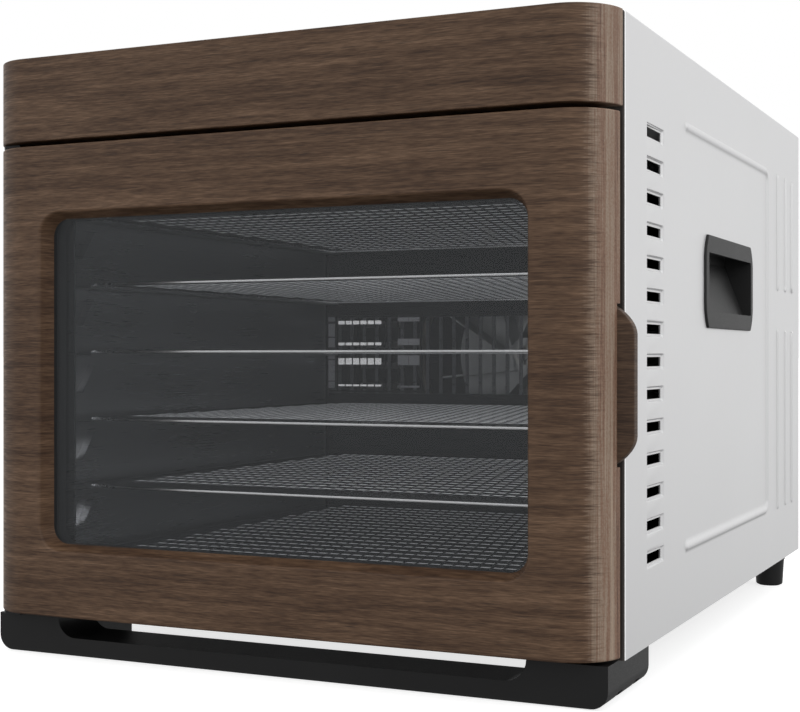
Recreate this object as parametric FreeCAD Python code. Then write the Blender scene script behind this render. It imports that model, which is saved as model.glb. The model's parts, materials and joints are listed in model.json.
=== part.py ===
"""Food dehydrator with a side-hinged glass door, six sliding trays and a rear fan.

Millimetres. +X is to the right as a person faces the door, +Y runs from the door to the
rear, +Z is up. The origin is on the ground, under the middle of the case.
"""
import FreeCAD, Part
import math
import os

from FreeCAD import Vector

# ---------------------------------------------------------------- driving dimensions
CASE_WIDTH = 338.0          # across the metal sides
DEPTH = 450.0               # from the face of the door to the rear edge of the case
CASE_TOP = 308.0            # height of the metal top above the ground
FOOT_HEIGHT = 19.7          # ground to the underside of the case
SHEET = 0.8                 # thickness of the folded steel sheets

HALF_WIDTH = CASE_WIDTH / 2
REAR_EDGE = DEPTH / 2
TRIM_FACE = -DEPTH / 2      # front plane of the door and the control panel

# front of the case
CASE_FACE = -199.6          # front plane of the folded case flange
FLANGE = 12.0               # width of that flange
BEND = 1.4                  # outer radius of the front bend
FRONT_FRAME_FACE = CASE_FACE + SHEET
FRONT_FRAME_THICK = 1.2
LINER_FRONT = FRONT_FRAME_FACE + FRONT_FRAME_THICK

# food chamber
CHAMBER_HALF = 149.0
CHAMBER_FLOOR = 30.0
CHAMBER_ROOF = 254.0
GUARD_FACE = 124.0          # front of the slotted wall before the fan
GUARD_SLOTS = 28
GUARD_PITCH = 10.0
GUARD_SLOT_WIDTH = 7.5
GUARD_SLOT_LOW = 128.0
GUARD_SLOT_HIGH = 182.0
FAN_WALL_FACE = 170.0       # front of the wall that carries the motor
WALL_VENT_ROWS = 4
WALL_VENT_INNER = 112.0
WALL_VENT_OUTER = 146.0

# trays
TRAY_COUNT = 6
TRAY_PITCH = 36.5
TOP_TRAY = 230.6            # upper surface of the highest tray
TRAY_HALF = 142.0
TRAY_FRONT = -176.6
TRAY_REAR = 118.0
TRAY_LIP_HALF = 120.0
TRAY_CUT_BACK = 8.0         # how far the tray's front corners are cut back
TRAY_HEM = 3.0              # width of the hem folded under the edge
TRAY_CLEARANCE = 0.3        # between a tray and the ledge under it
TRAY_SLOT_COLUMNS = 10
TRAY_SLOT_ROWS = 16
TRAY_SLOT_LENGTH = 20.0
TRAY_SLOT_WIDTH = 10.0

# side racks
RACK_DEPTH = 11.0
RACK_FRONT = -174.0
RACK_BOTTOM = 34.0
RACK_TOP = 246.0
RACK_TAB_DROP = 23.0        # foot of each entry tab, below its tray
RACK_TAB_REACH = 4.5

# side sheet details
VENT_COUNT = 14
VENT_PITCH = 15.35
VENT_MIDDLE = 159.5
VENT_FRONT = -163.5
VENT_LENGTH = 23.0
VENT_HEIGHT = 4.5
BEAD_WIDTH = 5.5
BEAD_RISE = 1.2
BEAD_FRONT = -93.5
BEAD_REAR = 116.8
BEAD_LOW = 55.0
BEAD_HIGH = 273.5
RIB_PLACES = (148.0, 174.6, 197.7)
RIB_WIDTH = 3.0
RIB_SPANS = ((54.3, 171.8), (196.7, 273.4))

# carry handles
HANDLE_FRONT = -53.0
HANDLE_REAR = 65.0
HANDLE_LOW = 169.5
HANDLE_HIGH = 219.5
HANDLE_RIM = 3.0            # how far the rim reaches past the cut-out
HANDLE_PROUD = 1.5
HANDLE_BACK = 152.5         # inner end of the cup
HANDLE_WALL = 2.0
HANDLE_CHAMFER = 9.0

# door and control panel
TRIM_CORNER = 25.0          # plan radius of the front corners
DOOR_LOW = 21.6
DOOR_HIGH = 262.2
DOOR_REAR = -205.2
PANEL_LOW = 264.6
PANEL_HIGH = 307.4
PANEL_REAR = -202.5
PANEL_WALL = 3.0
WINDOW_HALF = 129.7         # visible glass
WINDOW_LOW = 58.0
WINDOW_HIGH = 224.8
WINDOW_CORNER = 9.0
REVEAL_FLARE = 2.6
GLASS_FACE = -216.5
GLASS_THICK = 4.0
GLASS_LAP = 8.1             # how far the glass reaches past the visible window
INNER_FRAME_FACE = -207.6
INNER_FRAME_HALF = 162.8
INNER_FRAME_LOW = 24.8
INNER_FRAME_HIGH = 259.0
DOOR_SCREW_X = 142.5
DOOR_SCREW_HEIGHTS = (40.0, 106.0, 176.0, 244.0)
SCREW_RADIUS = 1.25
SEAL_OUTER = 156.5
SEAL_GAP = 0.3              # left between the seal and the front frame
SEAL_WIDTH = 6.0
SEAL_LOW = 26.0
SEAL_HIGH = 258.0
SEAL_HEIGHT = 5.0
TAB_REACH = 175.6
TAB_ROOT = 163.0
TAB_REAR = -201.6
TAB_LOW = 105.7
TAB_HIGH = 177.5
TAB_CORNER = 11.0
CATCH_THICK = 0.4
CATCH_GAP = 0.4             # between a closed magnet and its plate
CATCH_PLACES = (58.0, 210.0)

# hinge
HINGE_X = -160.5
HINGE_Y = -213.0
PIN_RADIUS = 2.0
RUNNING_GAP = 0.05
BUSH_RADIUS = 3.2
BUSH_LENGTH = 8.0
BRACKET_THICK = 1.4
BRACKET_LEFT = -167.0
BRACKET_RIGHT = -150.0
BRACKET_FRONT = -218.5
BRACKET_INSET = 0.6         # how far the arms stay inside the rounded plan of the door
HINGE_CORNER = 4.0          # rounding of the door's rear edge beside the hinge

# fan, motor and heater
FAN_Z = 155.0
FAN_RADIUS = 66.0
FAN_FRONT = 134.0
FAN_REAR = 157.0
FAN_BLADES = 9
SHAFT_RADIUS = 4.0
SHAFT_HOLE = 14.0           # radius of the opening round the shaft
PRESS_GAP = 0.02            # radial play of a pressed or clamped fit
MOTOR_RADIUS = 42.0
MOTOR_FRONT = 172.8
MOTOR_REAR = 204.0
BEARING_RADIUS = 11.0
BEARING_LENGTH = 7.0
ROTOR_RADIUS = 23.5
HEATER_RING = 84.0
HEATER_ROD = 3.2
HEATER_END = 2.6            # radius of the two ends that leave the ring
HEATER_Y = 147.0

# feet
BAR_FRONT = -215.0
BAR_HALF = 166.0
BAR_ARM_REAR = -150.0
BAR_RAIL_REAR = -185.0
BAR_RAIL_TOP = 9.45
BAR_GAP_HALF = 118.0
BAR_CORNER = 8.0
PAD_RISE = 0.5              # pads stand this far below the hard feet
REAR_FOOT_X = 157.0
REAR_FOOT_Y = 183.0
REAR_FOOT_LOW_RADIUS = 8.7
REAR_FOOT_TOP_RADIUS = 9.9

# rear
REAR_PANEL_FACE = 219.0     # outer face of the rear panel
REAR_PANEL_LIP = 12.0
MOTOR_VENT_ROWS = 9
MOTOR_VENT_PITCH = 10.0
MOTOR_VENT_HALF = 42.0      # half the length of the slots behind the motor
SIDE_VENT_ROWS = 5
SIDE_VENT_INNER = 105.0     # inner and outer ends of the slots beside the motor
SIDE_VENT_OUTER = 157.0
BOARD_VENT_COLUMNS = 12
BOARD_VENT_PITCH = 12.0
BOARD_VENT_LOW = 272.0
BOARD_VENT_HIGH = 294.0
GRILLE_HALF = 56.0
GRILLE_RISE = 54.0          # half height of the grille
GRILLE_CORNER = 8.0
GRILLE_WALL = 3.0
INLET_X = -118.0
INLET_Z = 62.0
INLET_HALF = 14.0           # the inlet's hole in the rear panel
INLET_RISE = 10.5
INLET_PLAY = 0.1

PARTS_FOLDER = "parts"


# ---------------------------------------------------------------- helpers
def box(x0, x1, y0, y1, z0, z1):
    """Block between two opposite corners."""
    return Part.makeBox(x1 - x0, y1 - y0, z1 - z0, Vector(x0, y0, z0))


def rod_y(radius, x, z, y0, y1):
    """Round bar along Y."""
    return Part.makeCylinder(radius, y1 - y0, Vector(x, y0, z), Vector(0, 1, 0))


def rod_z(radius, x, y, z0, z1):
    """Round bar along Z."""
    return Part.makeCylinder(radius, z1 - z0, Vector(x, y, z0), Vector(0, 0, 1))


def tube_y(outer, inner, x, z, y0, y1):
    """Round tube along Y."""
    return rod_y(outer, x, z, y0, y1).cut(rod_y(inner, x, z, y0 - 1, y1 + 1))


def mirrored(shape):
    """The same piece on the other side of the case."""
    return shape.mirror(Vector(0, 0, 0), Vector(1, 0, 0))


def both_sides(shape):
    """A piece and its mirror image."""
    return [shape, mirrored(shape)]


def polygon_prism(points, direction):
    """Prism from a closed list of corner points."""
    corners = [Vector(*point) for point in points]
    return Part.Face(Part.makePolygon(corners + corners[:1])).extrude(Vector(*direction))


def rounded_window(half_x, z0, z1, corner, y0, y1):
    """Block along Y with a rectangular outline whose four corners are round."""
    block = box(-half_x, half_x, y0, y1, z0, z1)
    long_edges = [edge for edge in block.Edges if abs(edge.tangentAt(0).y) > 0.9]
    return block.makeFillet(corner, long_edges)


def centred(count, pitch, middle=0.0):
    """Evenly spaced places on both sides of a middle."""
    return [middle + (index - (count - 1) / 2) * pitch for index in range(count)]


def edges_at(shape, test):
    """The edges whose middle point passes a test."""
    return [edge for edge in shape.Edges if test(edge.CenterOfMass)]


def save(name, *solids):
    """Write one node from its solids."""
    shape = solids[0] if len(solids) == 1 else Part.makeCompound(list(solids))
    shape.exportStep(os.path.join(PARTS_FOLDER, name + ".step"))


def tray_heights():
    """Upper surface of each tray, from the highest down."""
    return [TOP_TRAY - index * TRAY_PITCH for index in range(TRAY_COUNT)]


# ---------------------------------------------------------------- case shell
def vent_heights():
    """Middle height of each side vent slot."""
    return centred(VENT_COUNT, VENT_PITCH, VENT_MIDDLE)


def raised_strip(y0, y1, z0, z1):
    """Chamfered strip pressed out of the right-hand side sheet."""
    strip = box(HALF_WIDTH - SHEET / 2, HALF_WIDTH + BEAD_RISE, y0, y1, z0, z1)
    outer = edges_at(strip, lambda middle: middle.x > HALF_WIDTH + BEAD_RISE - 0.01)
    return strip.makeChamfer(BEAD_RISE * 0.9, outer)


def side_reliefs():
    """The U-shaped bead, open to the front, and the two groups of ribs."""
    reliefs = [
        raised_strip(BEAD_FRONT, BEAD_REAR, BEAD_LOW, BEAD_LOW + BEAD_WIDTH),
        raised_strip(BEAD_FRONT, BEAD_REAR, BEAD_HIGH - BEAD_WIDTH, BEAD_HIGH),
        raised_strip(BEAD_REAR - BEAD_WIDTH, BEAD_REAR, BEAD_LOW, BEAD_HIGH),
    ]
    for place in RIB_PLACES:
        for low, high in RIB_SPANS:
            reliefs.append(raised_strip(place - RIB_WIDTH / 2, place + RIB_WIDTH / 2, low, high))
    return reliefs


def outer_wrap():
    """One sheet over the left side, the top and the right side, flanged in at the front."""
    outer = box(-HALF_WIDTH, HALF_WIDTH, CASE_FACE, REAR_EDGE, FOOT_HEIGHT, CASE_TOP)
    front_bends = edges_at(outer, lambda middle: middle.y < CASE_FACE + 0.01 and middle.z > FOOT_HEIGHT)
    outer = outer.makeFillet(BEND, front_bends)
    inner_half = HALF_WIDTH - SHEET
    inner = box(-inner_half, inner_half, FRONT_FRAME_FACE, REAR_EDGE + 1, FOOT_HEIGHT - 1, CASE_TOP - SHEET)
    inner_bends = edges_at(
        inner, lambda middle: middle.y < FRONT_FRAME_FACE + 0.01 and middle.z > FOOT_HEIGHT
    )
    inner = inner.makeFillet(BEND - SHEET, inner_bends)
    mouth_half = HALF_WIDTH - FLANGE
    mouth = box(-mouth_half, mouth_half, CASE_FACE - 1, CASE_FACE + 2, FOOT_HEIGHT - 1, CASE_TOP - FLANGE)
    sheet = outer.cut([inner, mouth])
    reliefs = []
    cuts = []
    for relief in side_reliefs():
        reliefs.extend(both_sides(relief))
    for height in vent_heights():
        slot = box(
            HALF_WIDTH - 5, HALF_WIDTH + 5, VENT_FRONT, VENT_FRONT + VENT_LENGTH,
            height - VENT_HEIGHT / 2, height + VENT_HEIGHT / 2,
        )
        cuts.extend(both_sides(slot))
    opening = polygon_prism(handle_outline(HALF_WIDTH - 5, HANDLE_RIM), (10, 0, 0))
    cuts.extend(both_sides(opening))
    return sheet.fuse(reliefs).cut(cuts).removeSplitter()


def base_pan():
    """Floor sheet of the case, with a low front lip and upturned sides."""
    half = HALF_WIDTH - SHEET
    bend_room = BEND - SHEET
    upper = FOOT_HEIGHT + SHEET
    floor = box(-half, half, FRONT_FRAME_FACE + bend_room, REAR_EDGE - 1, FOOT_HEIGHT, upper)
    front_half = HALF_WIDTH - FLANGE
    strip_half = half - bend_room
    front_strip = box(
        -strip_half, strip_half, FRONT_FRAME_FACE, FRONT_FRAME_FACE + bend_room, FOOT_HEIGHT, upper
    )
    front_lip = box(-front_half, front_half, CASE_FACE, FRONT_FRAME_FACE, FOOT_HEIGHT, FOOT_HEIGHT + 5)
    side_lip = box(
        half - SHEET, half, LINER_FRONT, REAR_PANEL_FACE - REAR_PANEL_LIP - 2, upper, FOOT_HEIGHT + 12,
    )
    return floor.fuse([front_strip, front_lip] + both_sides(side_lip)).removeSplitter()


def front_frame():
    """Flat frame round the chamber mouth, behind the case flange."""
    half = HALF_WIDTH - SHEET
    corner_room = BEND - SHEET
    plate = box(
        -half + corner_room, half - corner_room, FRONT_FRAME_FACE, LINER_FRONT,
        FOOT_HEIGHT + SHEET, CASE_TOP - SHEET - corner_room,
    )
    mouth = box(
        -CHAMBER_HALF, CHAMBER_HALF, FRONT_FRAME_FACE - 1, LINER_FRONT + 1, CHAMBER_FLOOR, CHAMBER_ROOF
    )
    cable_hole = box(-20, 20, FRONT_FRAME_FACE - 1, LINER_FRONT + 1, 272, 288)
    return plate.cut([mouth, cable_hole])


def rear_slots():
    """Air slots in the rear panel: behind the motor, at both sides and by the electronics."""
    slots = []
    y0 = REAR_PANEL_FACE - 5
    y1 = REAR_PANEL_FACE + 5
    for z in centred(MOTOR_VENT_ROWS, MOTOR_VENT_PITCH, FAN_Z):
        slots.append(box(-MOTOR_VENT_HALF, MOTOR_VENT_HALF, y0, y1, z - 2, z + 2))
    for z in centred(SIDE_VENT_ROWS, VENT_PITCH, FAN_Z):
        slot = box(SIDE_VENT_INNER, SIDE_VENT_OUTER, y0, y1, z - VENT_HEIGHT / 2, z + VENT_HEIGHT / 2)
        slots.extend(both_sides(slot))
    for x in centred(BOARD_VENT_COLUMNS, BOARD_VENT_PITCH):
        slots.append(box(x - 2, x + 2, y0, y1, BOARD_VENT_LOW, BOARD_VENT_HIGH))
    return slots


def rear_panel():
    """Rear sheet with a lip all round that slides inside the wrap."""
    half = HALF_WIDTH - SHEET
    low = FOOT_HEIGHT + SHEET
    high = CASE_TOP - SHEET
    lip_front = REAR_PANEL_FACE - REAR_PANEL_LIP
    outer = box(-half, half, lip_front, REAR_PANEL_FACE, low, high)
    inner = box(
        -half + SHEET, half - SHEET, lip_front - 1, REAR_PANEL_FACE - SHEET, low + SHEET, high - SHEET
    )
    inlet_hole = box(
        INLET_X - INLET_HALF, INLET_X + INLET_HALF, REAR_PANEL_FACE - 5, REAR_PANEL_FACE + 5,
        INLET_Z - INLET_RISE, INLET_Z + INLET_RISE,
    )
    return outer.cut([inner, inlet_hole] + rear_slots())


def rear_vent_grille():
    """Slatted cover over the motor vents."""
    plate = rounded_window(
        GRILLE_HALF, FAN_Z - GRILLE_RISE, FAN_Z + GRILLE_RISE, GRILLE_CORNER,
        REAR_PANEL_FACE, REAR_EDGE - 0.5,
    )
    inner_rise = GRILLE_RISE - GRILLE_WALL
    hollow = rounded_window(
        GRILLE_HALF - GRILLE_WALL, FAN_Z - inner_rise, FAN_Z + inner_rise, GRILLE_CORNER - 2,
        REAR_PANEL_FACE - 1, REAR_EDGE - GRILLE_WALL,
    )
    half = MOTOR_VENT_HALF + 4
    slots = []
    for z in centred(MOTOR_VENT_ROWS, MOTOR_VENT_PITCH, FAN_Z):
        slots.append(box(-half, half, REAR_PANEL_FACE, REAR_EDGE + 1, z - 2.5, z + 2.5))
    return plate.cut([hollow] + slots)


# ---------------------------------------------------------------- chamber
def liner_side():
    """Right-hand wall of the chamber."""
    return box(
        CHAMBER_HALF, CHAMBER_HALF + SHEET, LINER_FRONT, FAN_WALL_FACE + SHEET, CHAMBER_FLOOR, CHAMBER_ROOF
    )


def liner_plate(low):
    """Floor or roof of the chamber, from its lower face."""
    half = CHAMBER_HALF + SHEET
    return box(-half, half, LINER_FRONT, FAN_WALL_FACE + SHEET, low, low + SHEET)


def rack_wall():
    """Right-hand rack sheet against the liner, with an angled entry tab below each tray."""
    wall_inner = CHAMBER_HALF - SHEET
    wall = box(wall_inner, CHAMBER_HALF, RACK_FRONT, TRAY_REAR, RACK_BOTTOM, RACK_TOP)
    tabs = []
    for height in tray_heights()[:-1]:
        foot = height - RACK_TAB_DROP
        tab = [
            (wall_inner, RACK_FRONT, foot), (wall_inner, RACK_FRONT + 4, foot),
            (wall_inner, RACK_FRONT + 15, foot + 15), (wall_inner, RACK_FRONT + 11, foot + 15),
        ]
        tabs.append(polygon_prism(tab, (-RACK_TAB_REACH, 0, 0)))
    return wall.fuse(tabs).removeSplitter()


def rack_ledges():
    """Right-hand ledges, one welded to the rack sheet under each tray."""
    ledges = []
    for height in tray_heights():
        top = height - 2 * SHEET - TRAY_CLEARANCE
        ledges.append(
            box(CHAMBER_HALF - RACK_DEPTH, CHAMBER_HALF - SHEET, RACK_FRONT, TRAY_REAR, top - SHEET, top)
        )
    return ledges


def fan_guard():
    """Slotted sheet between the food and the fan."""
    sheet = box(
        -CHAMBER_HALF, CHAMBER_HALF, GUARD_FACE, GUARD_FACE + SHEET, CHAMBER_FLOOR, CHAMBER_ROOF
    )
    half = GUARD_SLOT_WIDTH / 2
    slots = []
    for x in centred(GUARD_SLOTS, GUARD_PITCH):
        slot = box(x - half, x + half, GUARD_FACE - 1, GUARD_FACE + 2, GUARD_SLOT_LOW, GUARD_SLOT_HIGH)
        slots.append(slot)
    return sheet.cut(slots)


def fan_wall():
    """Wall that closes the chamber behind the fan and carries the motor."""
    sheet = box(
        -CHAMBER_HALF, CHAMBER_HALF, FAN_WALL_FACE, FAN_WALL_FACE + SHEET, CHAMBER_FLOOR, CHAMBER_ROOF
    )
    cuts = [rod_y(SHAFT_HOLE, 0, FAN_Z, FAN_WALL_FACE - 1, FAN_WALL_FACE + 2)]
    for x, z in heater_terminals():
        cuts.append(rod_y(HEATER_END + 0.5, x, z, FAN_WALL_FACE - 1, FAN_WALL_FACE + 2))
    for z in centred(WALL_VENT_ROWS, VENT_PITCH, FAN_Z):
        slot = box(
            WALL_VENT_INNER, WALL_VENT_OUTER, FAN_WALL_FACE - 1, FAN_WALL_FACE + 2,
            z - VENT_HEIGHT / 2, z + VENT_HEIGHT / 2,
        )
        cuts.extend(both_sides(slot))
    return sheet.cut(cuts)


def tray_outline(inset):
    """Corners of a tray in plan: the front corners are cut back beside the front lip."""
    half = TRAY_HALF - inset
    lip_half = TRAY_LIP_HALF - inset
    front = TRAY_FRONT + inset
    rear = TRAY_REAR - inset
    return [
        (-lip_half, front), (lip_half, front), (half, front + TRAY_CUT_BACK),
        (half, rear), (-half, rear), (-half, front + TRAY_CUT_BACK),
    ]


def closed_wire(points, z):
    """Closed flat wire at one height."""
    corners = [Vector(x, y, z) for x, y in points]
    return Part.makePolygon(corners + corners[:1])


def tray(height):
    """Perforated tray: a flat slotted sheet with a hem folded under it all round."""
    underside = height - SHEET
    wires = [closed_wire(tray_outline(0), underside)]
    field_x = 2 * TRAY_HALF - 30
    field_y = TRAY_REAR - TRAY_FRONT - 36
    step_x = field_x / TRAY_SLOT_COLUMNS
    step_y = field_y / TRAY_SLOT_ROWS
    half_x = TRAY_SLOT_LENGTH / 2
    half_y = TRAY_SLOT_WIDTH / 2
    for column in range(TRAY_SLOT_COLUMNS):
        for row in range(TRAY_SLOT_ROWS):
            x = -field_x / 2 + (column + 0.5) * step_x
            y = TRAY_FRONT + 18 + (row + 0.5) * step_y
            hole = [
                (x - half_x, y - half_y), (x + half_x, y - half_y),
                (x + half_x, y + half_y), (x - half_x, y + half_y),
            ]
            wires.append(closed_wire(hole, underside))
    plate = Part.makeFace(wires, "Part::FaceMakerBullseye").extrude(Vector(0, 0, SHEET))
    hem_wires = [closed_wire(tray_outline(inset), underside) for inset in (0, TRAY_HEM)]
    hem = Part.makeFace(hem_wires, "Part::FaceMakerBullseye").extrude(Vector(0, 0, -SHEET))
    return plate.fuse(hem).removeSplitter()


# ---------------------------------------------------------------- front trim and door
def trim_block(rear, low, high, inset=0.0):
    """Block with the rounded plan of the front trim, optionally inset from its face."""
    face = TRIM_FACE + inset
    radius = TRIM_CORNER - inset
    centre_x = HALF_WIDTH - TRIM_CORNER
    centre_y = TRIM_FACE + TRIM_CORNER
    rear_x = centre_x + math.sqrt(radius ** 2 - (centre_y - rear) ** 2)
    diagonal = radius * math.sqrt(0.5)
    right_arc = Part.Arc(
        Vector(rear_x, rear, low),
        Vector(centre_x + diagonal, centre_y - diagonal, low),
        Vector(centre_x, face, low),
    )
    left_arc = Part.Arc(
        Vector(-centre_x, face, low),
        Vector(-centre_x - diagonal, centre_y - diagonal, low),
        Vector(-rear_x, rear, low),
    )
    edges = [
        right_arc.toShape(),
        Part.LineSegment(Vector(centre_x, face, low), Vector(-centre_x, face, low)).toShape(),
        left_arc.toShape(),
        Part.LineSegment(Vector(-rear_x, rear, low), Vector(rear_x, rear, low)).toShape(),
    ]
    return Part.Face(Part.Wire(edges)).extrude(Vector(0, 0, high - low))


def control_panel():
    """Hollow front band above the door, open at the rear, with four fixing bosses."""
    shell = trim_block(PANEL_REAR, PANEL_LOW, PANEL_HIGH)
    hollow = trim_block(PANEL_REAR, PANEL_LOW + PANEL_WALL, PANEL_HIGH - PANEL_WALL, PANEL_WALL)
    bosses = []
    for x in (50, 130):
        boss = rod_y(4, x, 282, TRIM_FACE + PANEL_WALL - 1, FRONT_FRAME_FACE)
        bosses.extend(both_sides(boss))
    return shell.cut(hollow).fuse(bosses).removeSplitter()


def window_flare():
    """The flared reveal between the face of the door and the glass."""
    wires = []
    for y, grow in ((TRIM_FACE - 0.5, REVEAL_FLARE), (GLASS_FACE + 0.001, 0.0)):
        outline = rounded_window(
            WINDOW_HALF + grow, WINDOW_LOW - grow, WINDOW_HIGH + grow, WINDOW_CORNER + grow, y, y + 1
        )
        front = [face for face in outline.Faces if abs(face.CenterOfMass.y - y) < 1e-6]
        wires.append(front[0].OuterWire)
    return Part.makeLoft(wires, True)


def door_screw_places():
    """Where the inner frame is screwed to the door frame."""
    return [(side * DOOR_SCREW_X, z) for side in (-1, 1) for z in DOOR_SCREW_HEIGHTS]


def door_frame():
    """Rounded surround of the window, with pockets for glass, inner frame, tab and bushes."""
    block = trim_block(DOOR_REAR, DOOR_LOW, DOOR_HIGH)
    hinge_edge = edges_at(block, lambda middle: middle.x < -165 and middle.y > DOOR_REAR - 0.01)
    hinge_edge = [edge for edge in hinge_edge if edge.BoundBox.ZLength > 100]
    block = block.makeFillet(HINGE_CORNER, hinge_edge)
    glass_pocket = rounded_window(
        WINDOW_HALF + GLASS_LAP, WINDOW_LOW - GLASS_LAP, WINDOW_HIGH + GLASS_LAP,
        WINDOW_CORNER + 3, GLASS_FACE, DOOR_REAR + 1,
    )
    frame_pocket = box(
        -INNER_FRAME_HALF, INNER_FRAME_HALF, INNER_FRAME_FACE, DOOR_REAR + 1,
        INNER_FRAME_LOW, INNER_FRAME_HIGH,
    )
    tab_pocket = box(TAB_ROOT, HALF_WIDTH + 1, INNER_FRAME_FACE, DOOR_REAR + 1, TAB_LOW, TAB_HIGH)
    bush_holes = [
        rod_z(BUSH_RADIUS + PRESS_GAP, HINGE_X, HINGE_Y, DOOR_LOW - 1, DOOR_LOW + BUSH_LENGTH),
        rod_z(BUSH_RADIUS + PRESS_GAP, HINGE_X, HINGE_Y, DOOR_HIGH - BUSH_LENGTH, DOOR_HIGH + 1),
    ]
    hole_radius = SCREW_RADIUS + RUNNING_GAP
    screw_holes = [rod_y(hole_radius, x, z, -218, INNER_FRAME_FACE + 1) for x, z in door_screw_places()]
    pockets = [window_flare(), glass_pocket, frame_pocket, tab_pocket]
    return block.cut(pockets + bush_holes + screw_holes)


def door_glass():
    """Tinted pane held between the door frame and the inner frame."""
    lap = GLASS_LAP - 0.3
    return rounded_window(
        WINDOW_HALF + lap, WINDOW_LOW - lap, WINDOW_HIGH + lap, WINDOW_CORNER + 2.7,
        GLASS_FACE, GLASS_FACE + GLASS_THICK,
    )


def door_inner_frame():
    """Plate behind the door frame with a raised ring that clamps the glass."""
    plate = box(
        -INNER_FRAME_HALF, INNER_FRAME_HALF, INNER_FRAME_FACE, DOOR_REAR,
        INNER_FRAME_LOW, INNER_FRAME_HIGH,
    )
    lap = GLASS_LAP - 0.5
    ring = rounded_window(
        WINDOW_HALF + lap, WINDOW_LOW - lap, WINDOW_HIGH + lap, WINDOW_CORNER + 2.5,
        GLASS_FACE + GLASS_THICK, INNER_FRAME_FACE + 0.5,
    )
    window = rounded_window(
        WINDOW_HALF + 1, WINDOW_LOW - 1, WINDOW_HIGH + 1, WINDOW_CORNER, GLASS_FACE, DOOR_REAR + 1
    )
    hole_radius = SCREW_RADIUS + RUNNING_GAP
    holes = []
    for x, z in door_screw_places():
        holes.append(rod_y(hole_radius, x, z, INNER_FRAME_FACE - 5, DOOR_REAR + 1))
    return plate.fuse(ring).cut([window] + holes)


def door_screws():
    """Screws that hold the inner frame."""
    screws = []
    for x, z in door_screw_places():
        shank = rod_y(SCREW_RADIUS, x, z, -217, DOOR_REAR)
        head = rod_y(2.8, x, z, DOOR_REAR, DOOR_REAR + 1.5)
        screws.append(shank.fuse(head))
    return screws


def door_seal():
    """Soft ring that closes on the front frame round the chamber mouth."""
    rear = FRONT_FRAME_FACE - SEAL_GAP
    outer = box(-SEAL_OUTER, SEAL_OUTER, DOOR_REAR, rear, SEAL_LOW, SEAL_HIGH)
    inner = box(
        -SEAL_OUTER + SEAL_WIDTH, SEAL_OUTER - SEAL_WIDTH, DOOR_REAR - 1, rear + 1,
        SEAL_LOW + SEAL_HEIGHT, SEAL_HIGH - SEAL_HEIGHT,
    )
    return outer.cut(inner)


def door_handle_tab():
    """Finger tab at the free edge of the door."""
    tab = box(TAB_ROOT, TAB_REACH, INNER_FRAME_FACE, TAB_REAR, TAB_LOW, TAB_HIGH)
    corners = edges_at(
        tab, lambda middle: middle.x > TAB_REACH - 0.01 and not TAB_LOW + 1 < middle.z < TAB_HIGH - 1
    )
    corners = [edge for edge in corners if edge.BoundBox.YLength > 1]
    return tab.makeFillet(TAB_CORNER, corners)


def door_magnets():
    """Two block magnets at the free side of the door."""
    rear = CASE_FACE - CATCH_THICK - CATCH_GAP
    return [box(157.6, 162.4, DOOR_REAR, rear, z, z + 16) for z in CATCH_PLACES]


def catch_plates():
    """Steel plates on the case flange that the magnets hold to."""
    return [box(157.6, 163.6, CASE_FACE - CATCH_THICK, CASE_FACE, z - 2, z + 18) for z in CATCH_PLACES]


# ---------------------------------------------------------------- hinge
def hinge_bracket(low, flange_low, flange_high):
    """Sheet arm that reaches forward under or over the door, with its fixing flange."""
    plan = trim_block(CASE_FACE, low, low + BRACKET_THICK, BRACKET_INSET)
    arm = box(BRACKET_LEFT, BRACKET_RIGHT, BRACKET_FRONT, CASE_FACE, low, low + BRACKET_THICK).common(plan)
    flange = box(BRACKET_LEFT, BRACKET_RIGHT, CASE_FACE - 1, CASE_FACE, flange_low, flange_high)
    hole = rod_z(PIN_RADIUS + PRESS_GAP, HINGE_X, HINGE_Y, low - 1, low + BRACKET_THICK + 1)
    return arm.fuse(flange).cut(hole).removeSplitter()


UPPER_BRACKET_LOW = PANEL_LOW - 0.2 - BRACKET_THICK


def hinge_pins():
    """Upper and lower hinge pins, riveted in their brackets."""
    upper_top = UPPER_BRACKET_LOW + BRACKET_THICK
    upper = rod_z(PIN_RADIUS, HINGE_X, HINGE_Y, DOOR_HIGH - BUSH_LENGTH + 1, upper_top)
    lower = rod_z(PIN_RADIUS, HINGE_X, HINGE_Y, FOOT_HEIGHT, DOOR_LOW + BUSH_LENGTH - 1)
    return [upper, lower]


def hinge_bushes():
    """Plain bushes in the top and bottom edges of the door."""
    bushes = []
    for low in (DOOR_LOW, DOOR_HIGH - BUSH_LENGTH):
        outer = rod_z(BUSH_RADIUS, HINGE_X, HINGE_Y, low, low + BUSH_LENGTH)
        bore = rod_z(PIN_RADIUS + RUNNING_GAP, HINGE_X, HINGE_Y, low - 1, low + BUSH_LENGTH + 1)
        bushes.append(outer.cut(bore))
    return bushes


# ---------------------------------------------------------------- fan, motor and heater
def fan_impeller():
    """Hub, back disc and slanted radial blades."""
    pieces = [
        rod_y(12, 0, FAN_Z, FAN_FRONT - 1, FAN_REAR),
        rod_y(FAN_RADIUS - 8, 0, FAN_Z, FAN_REAR - 1, FAN_REAR),
    ]
    for index in range(FAN_BLADES):
        blade = box(-0.6, 0.6, FAN_FRONT, FAN_REAR - 0.5, 10, FAN_RADIUS)
        blade.rotate(Vector(0, 0, 22), Vector(0, 1, 0), 24)
        blade.translate(Vector(0, 0, FAN_Z))
        blade.rotate(Vector(0, 0, FAN_Z), Vector(0, 1, 0), index * 360.0 / FAN_BLADES)
        pieces.append(blade)
    bore = rod_y(SHAFT_RADIUS + PRESS_GAP, 0, FAN_Z, FAN_FRONT - 5, FAN_REAR + 5)
    return pieces[0].fuse(pieces[1:]).cut(bore)


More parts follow.
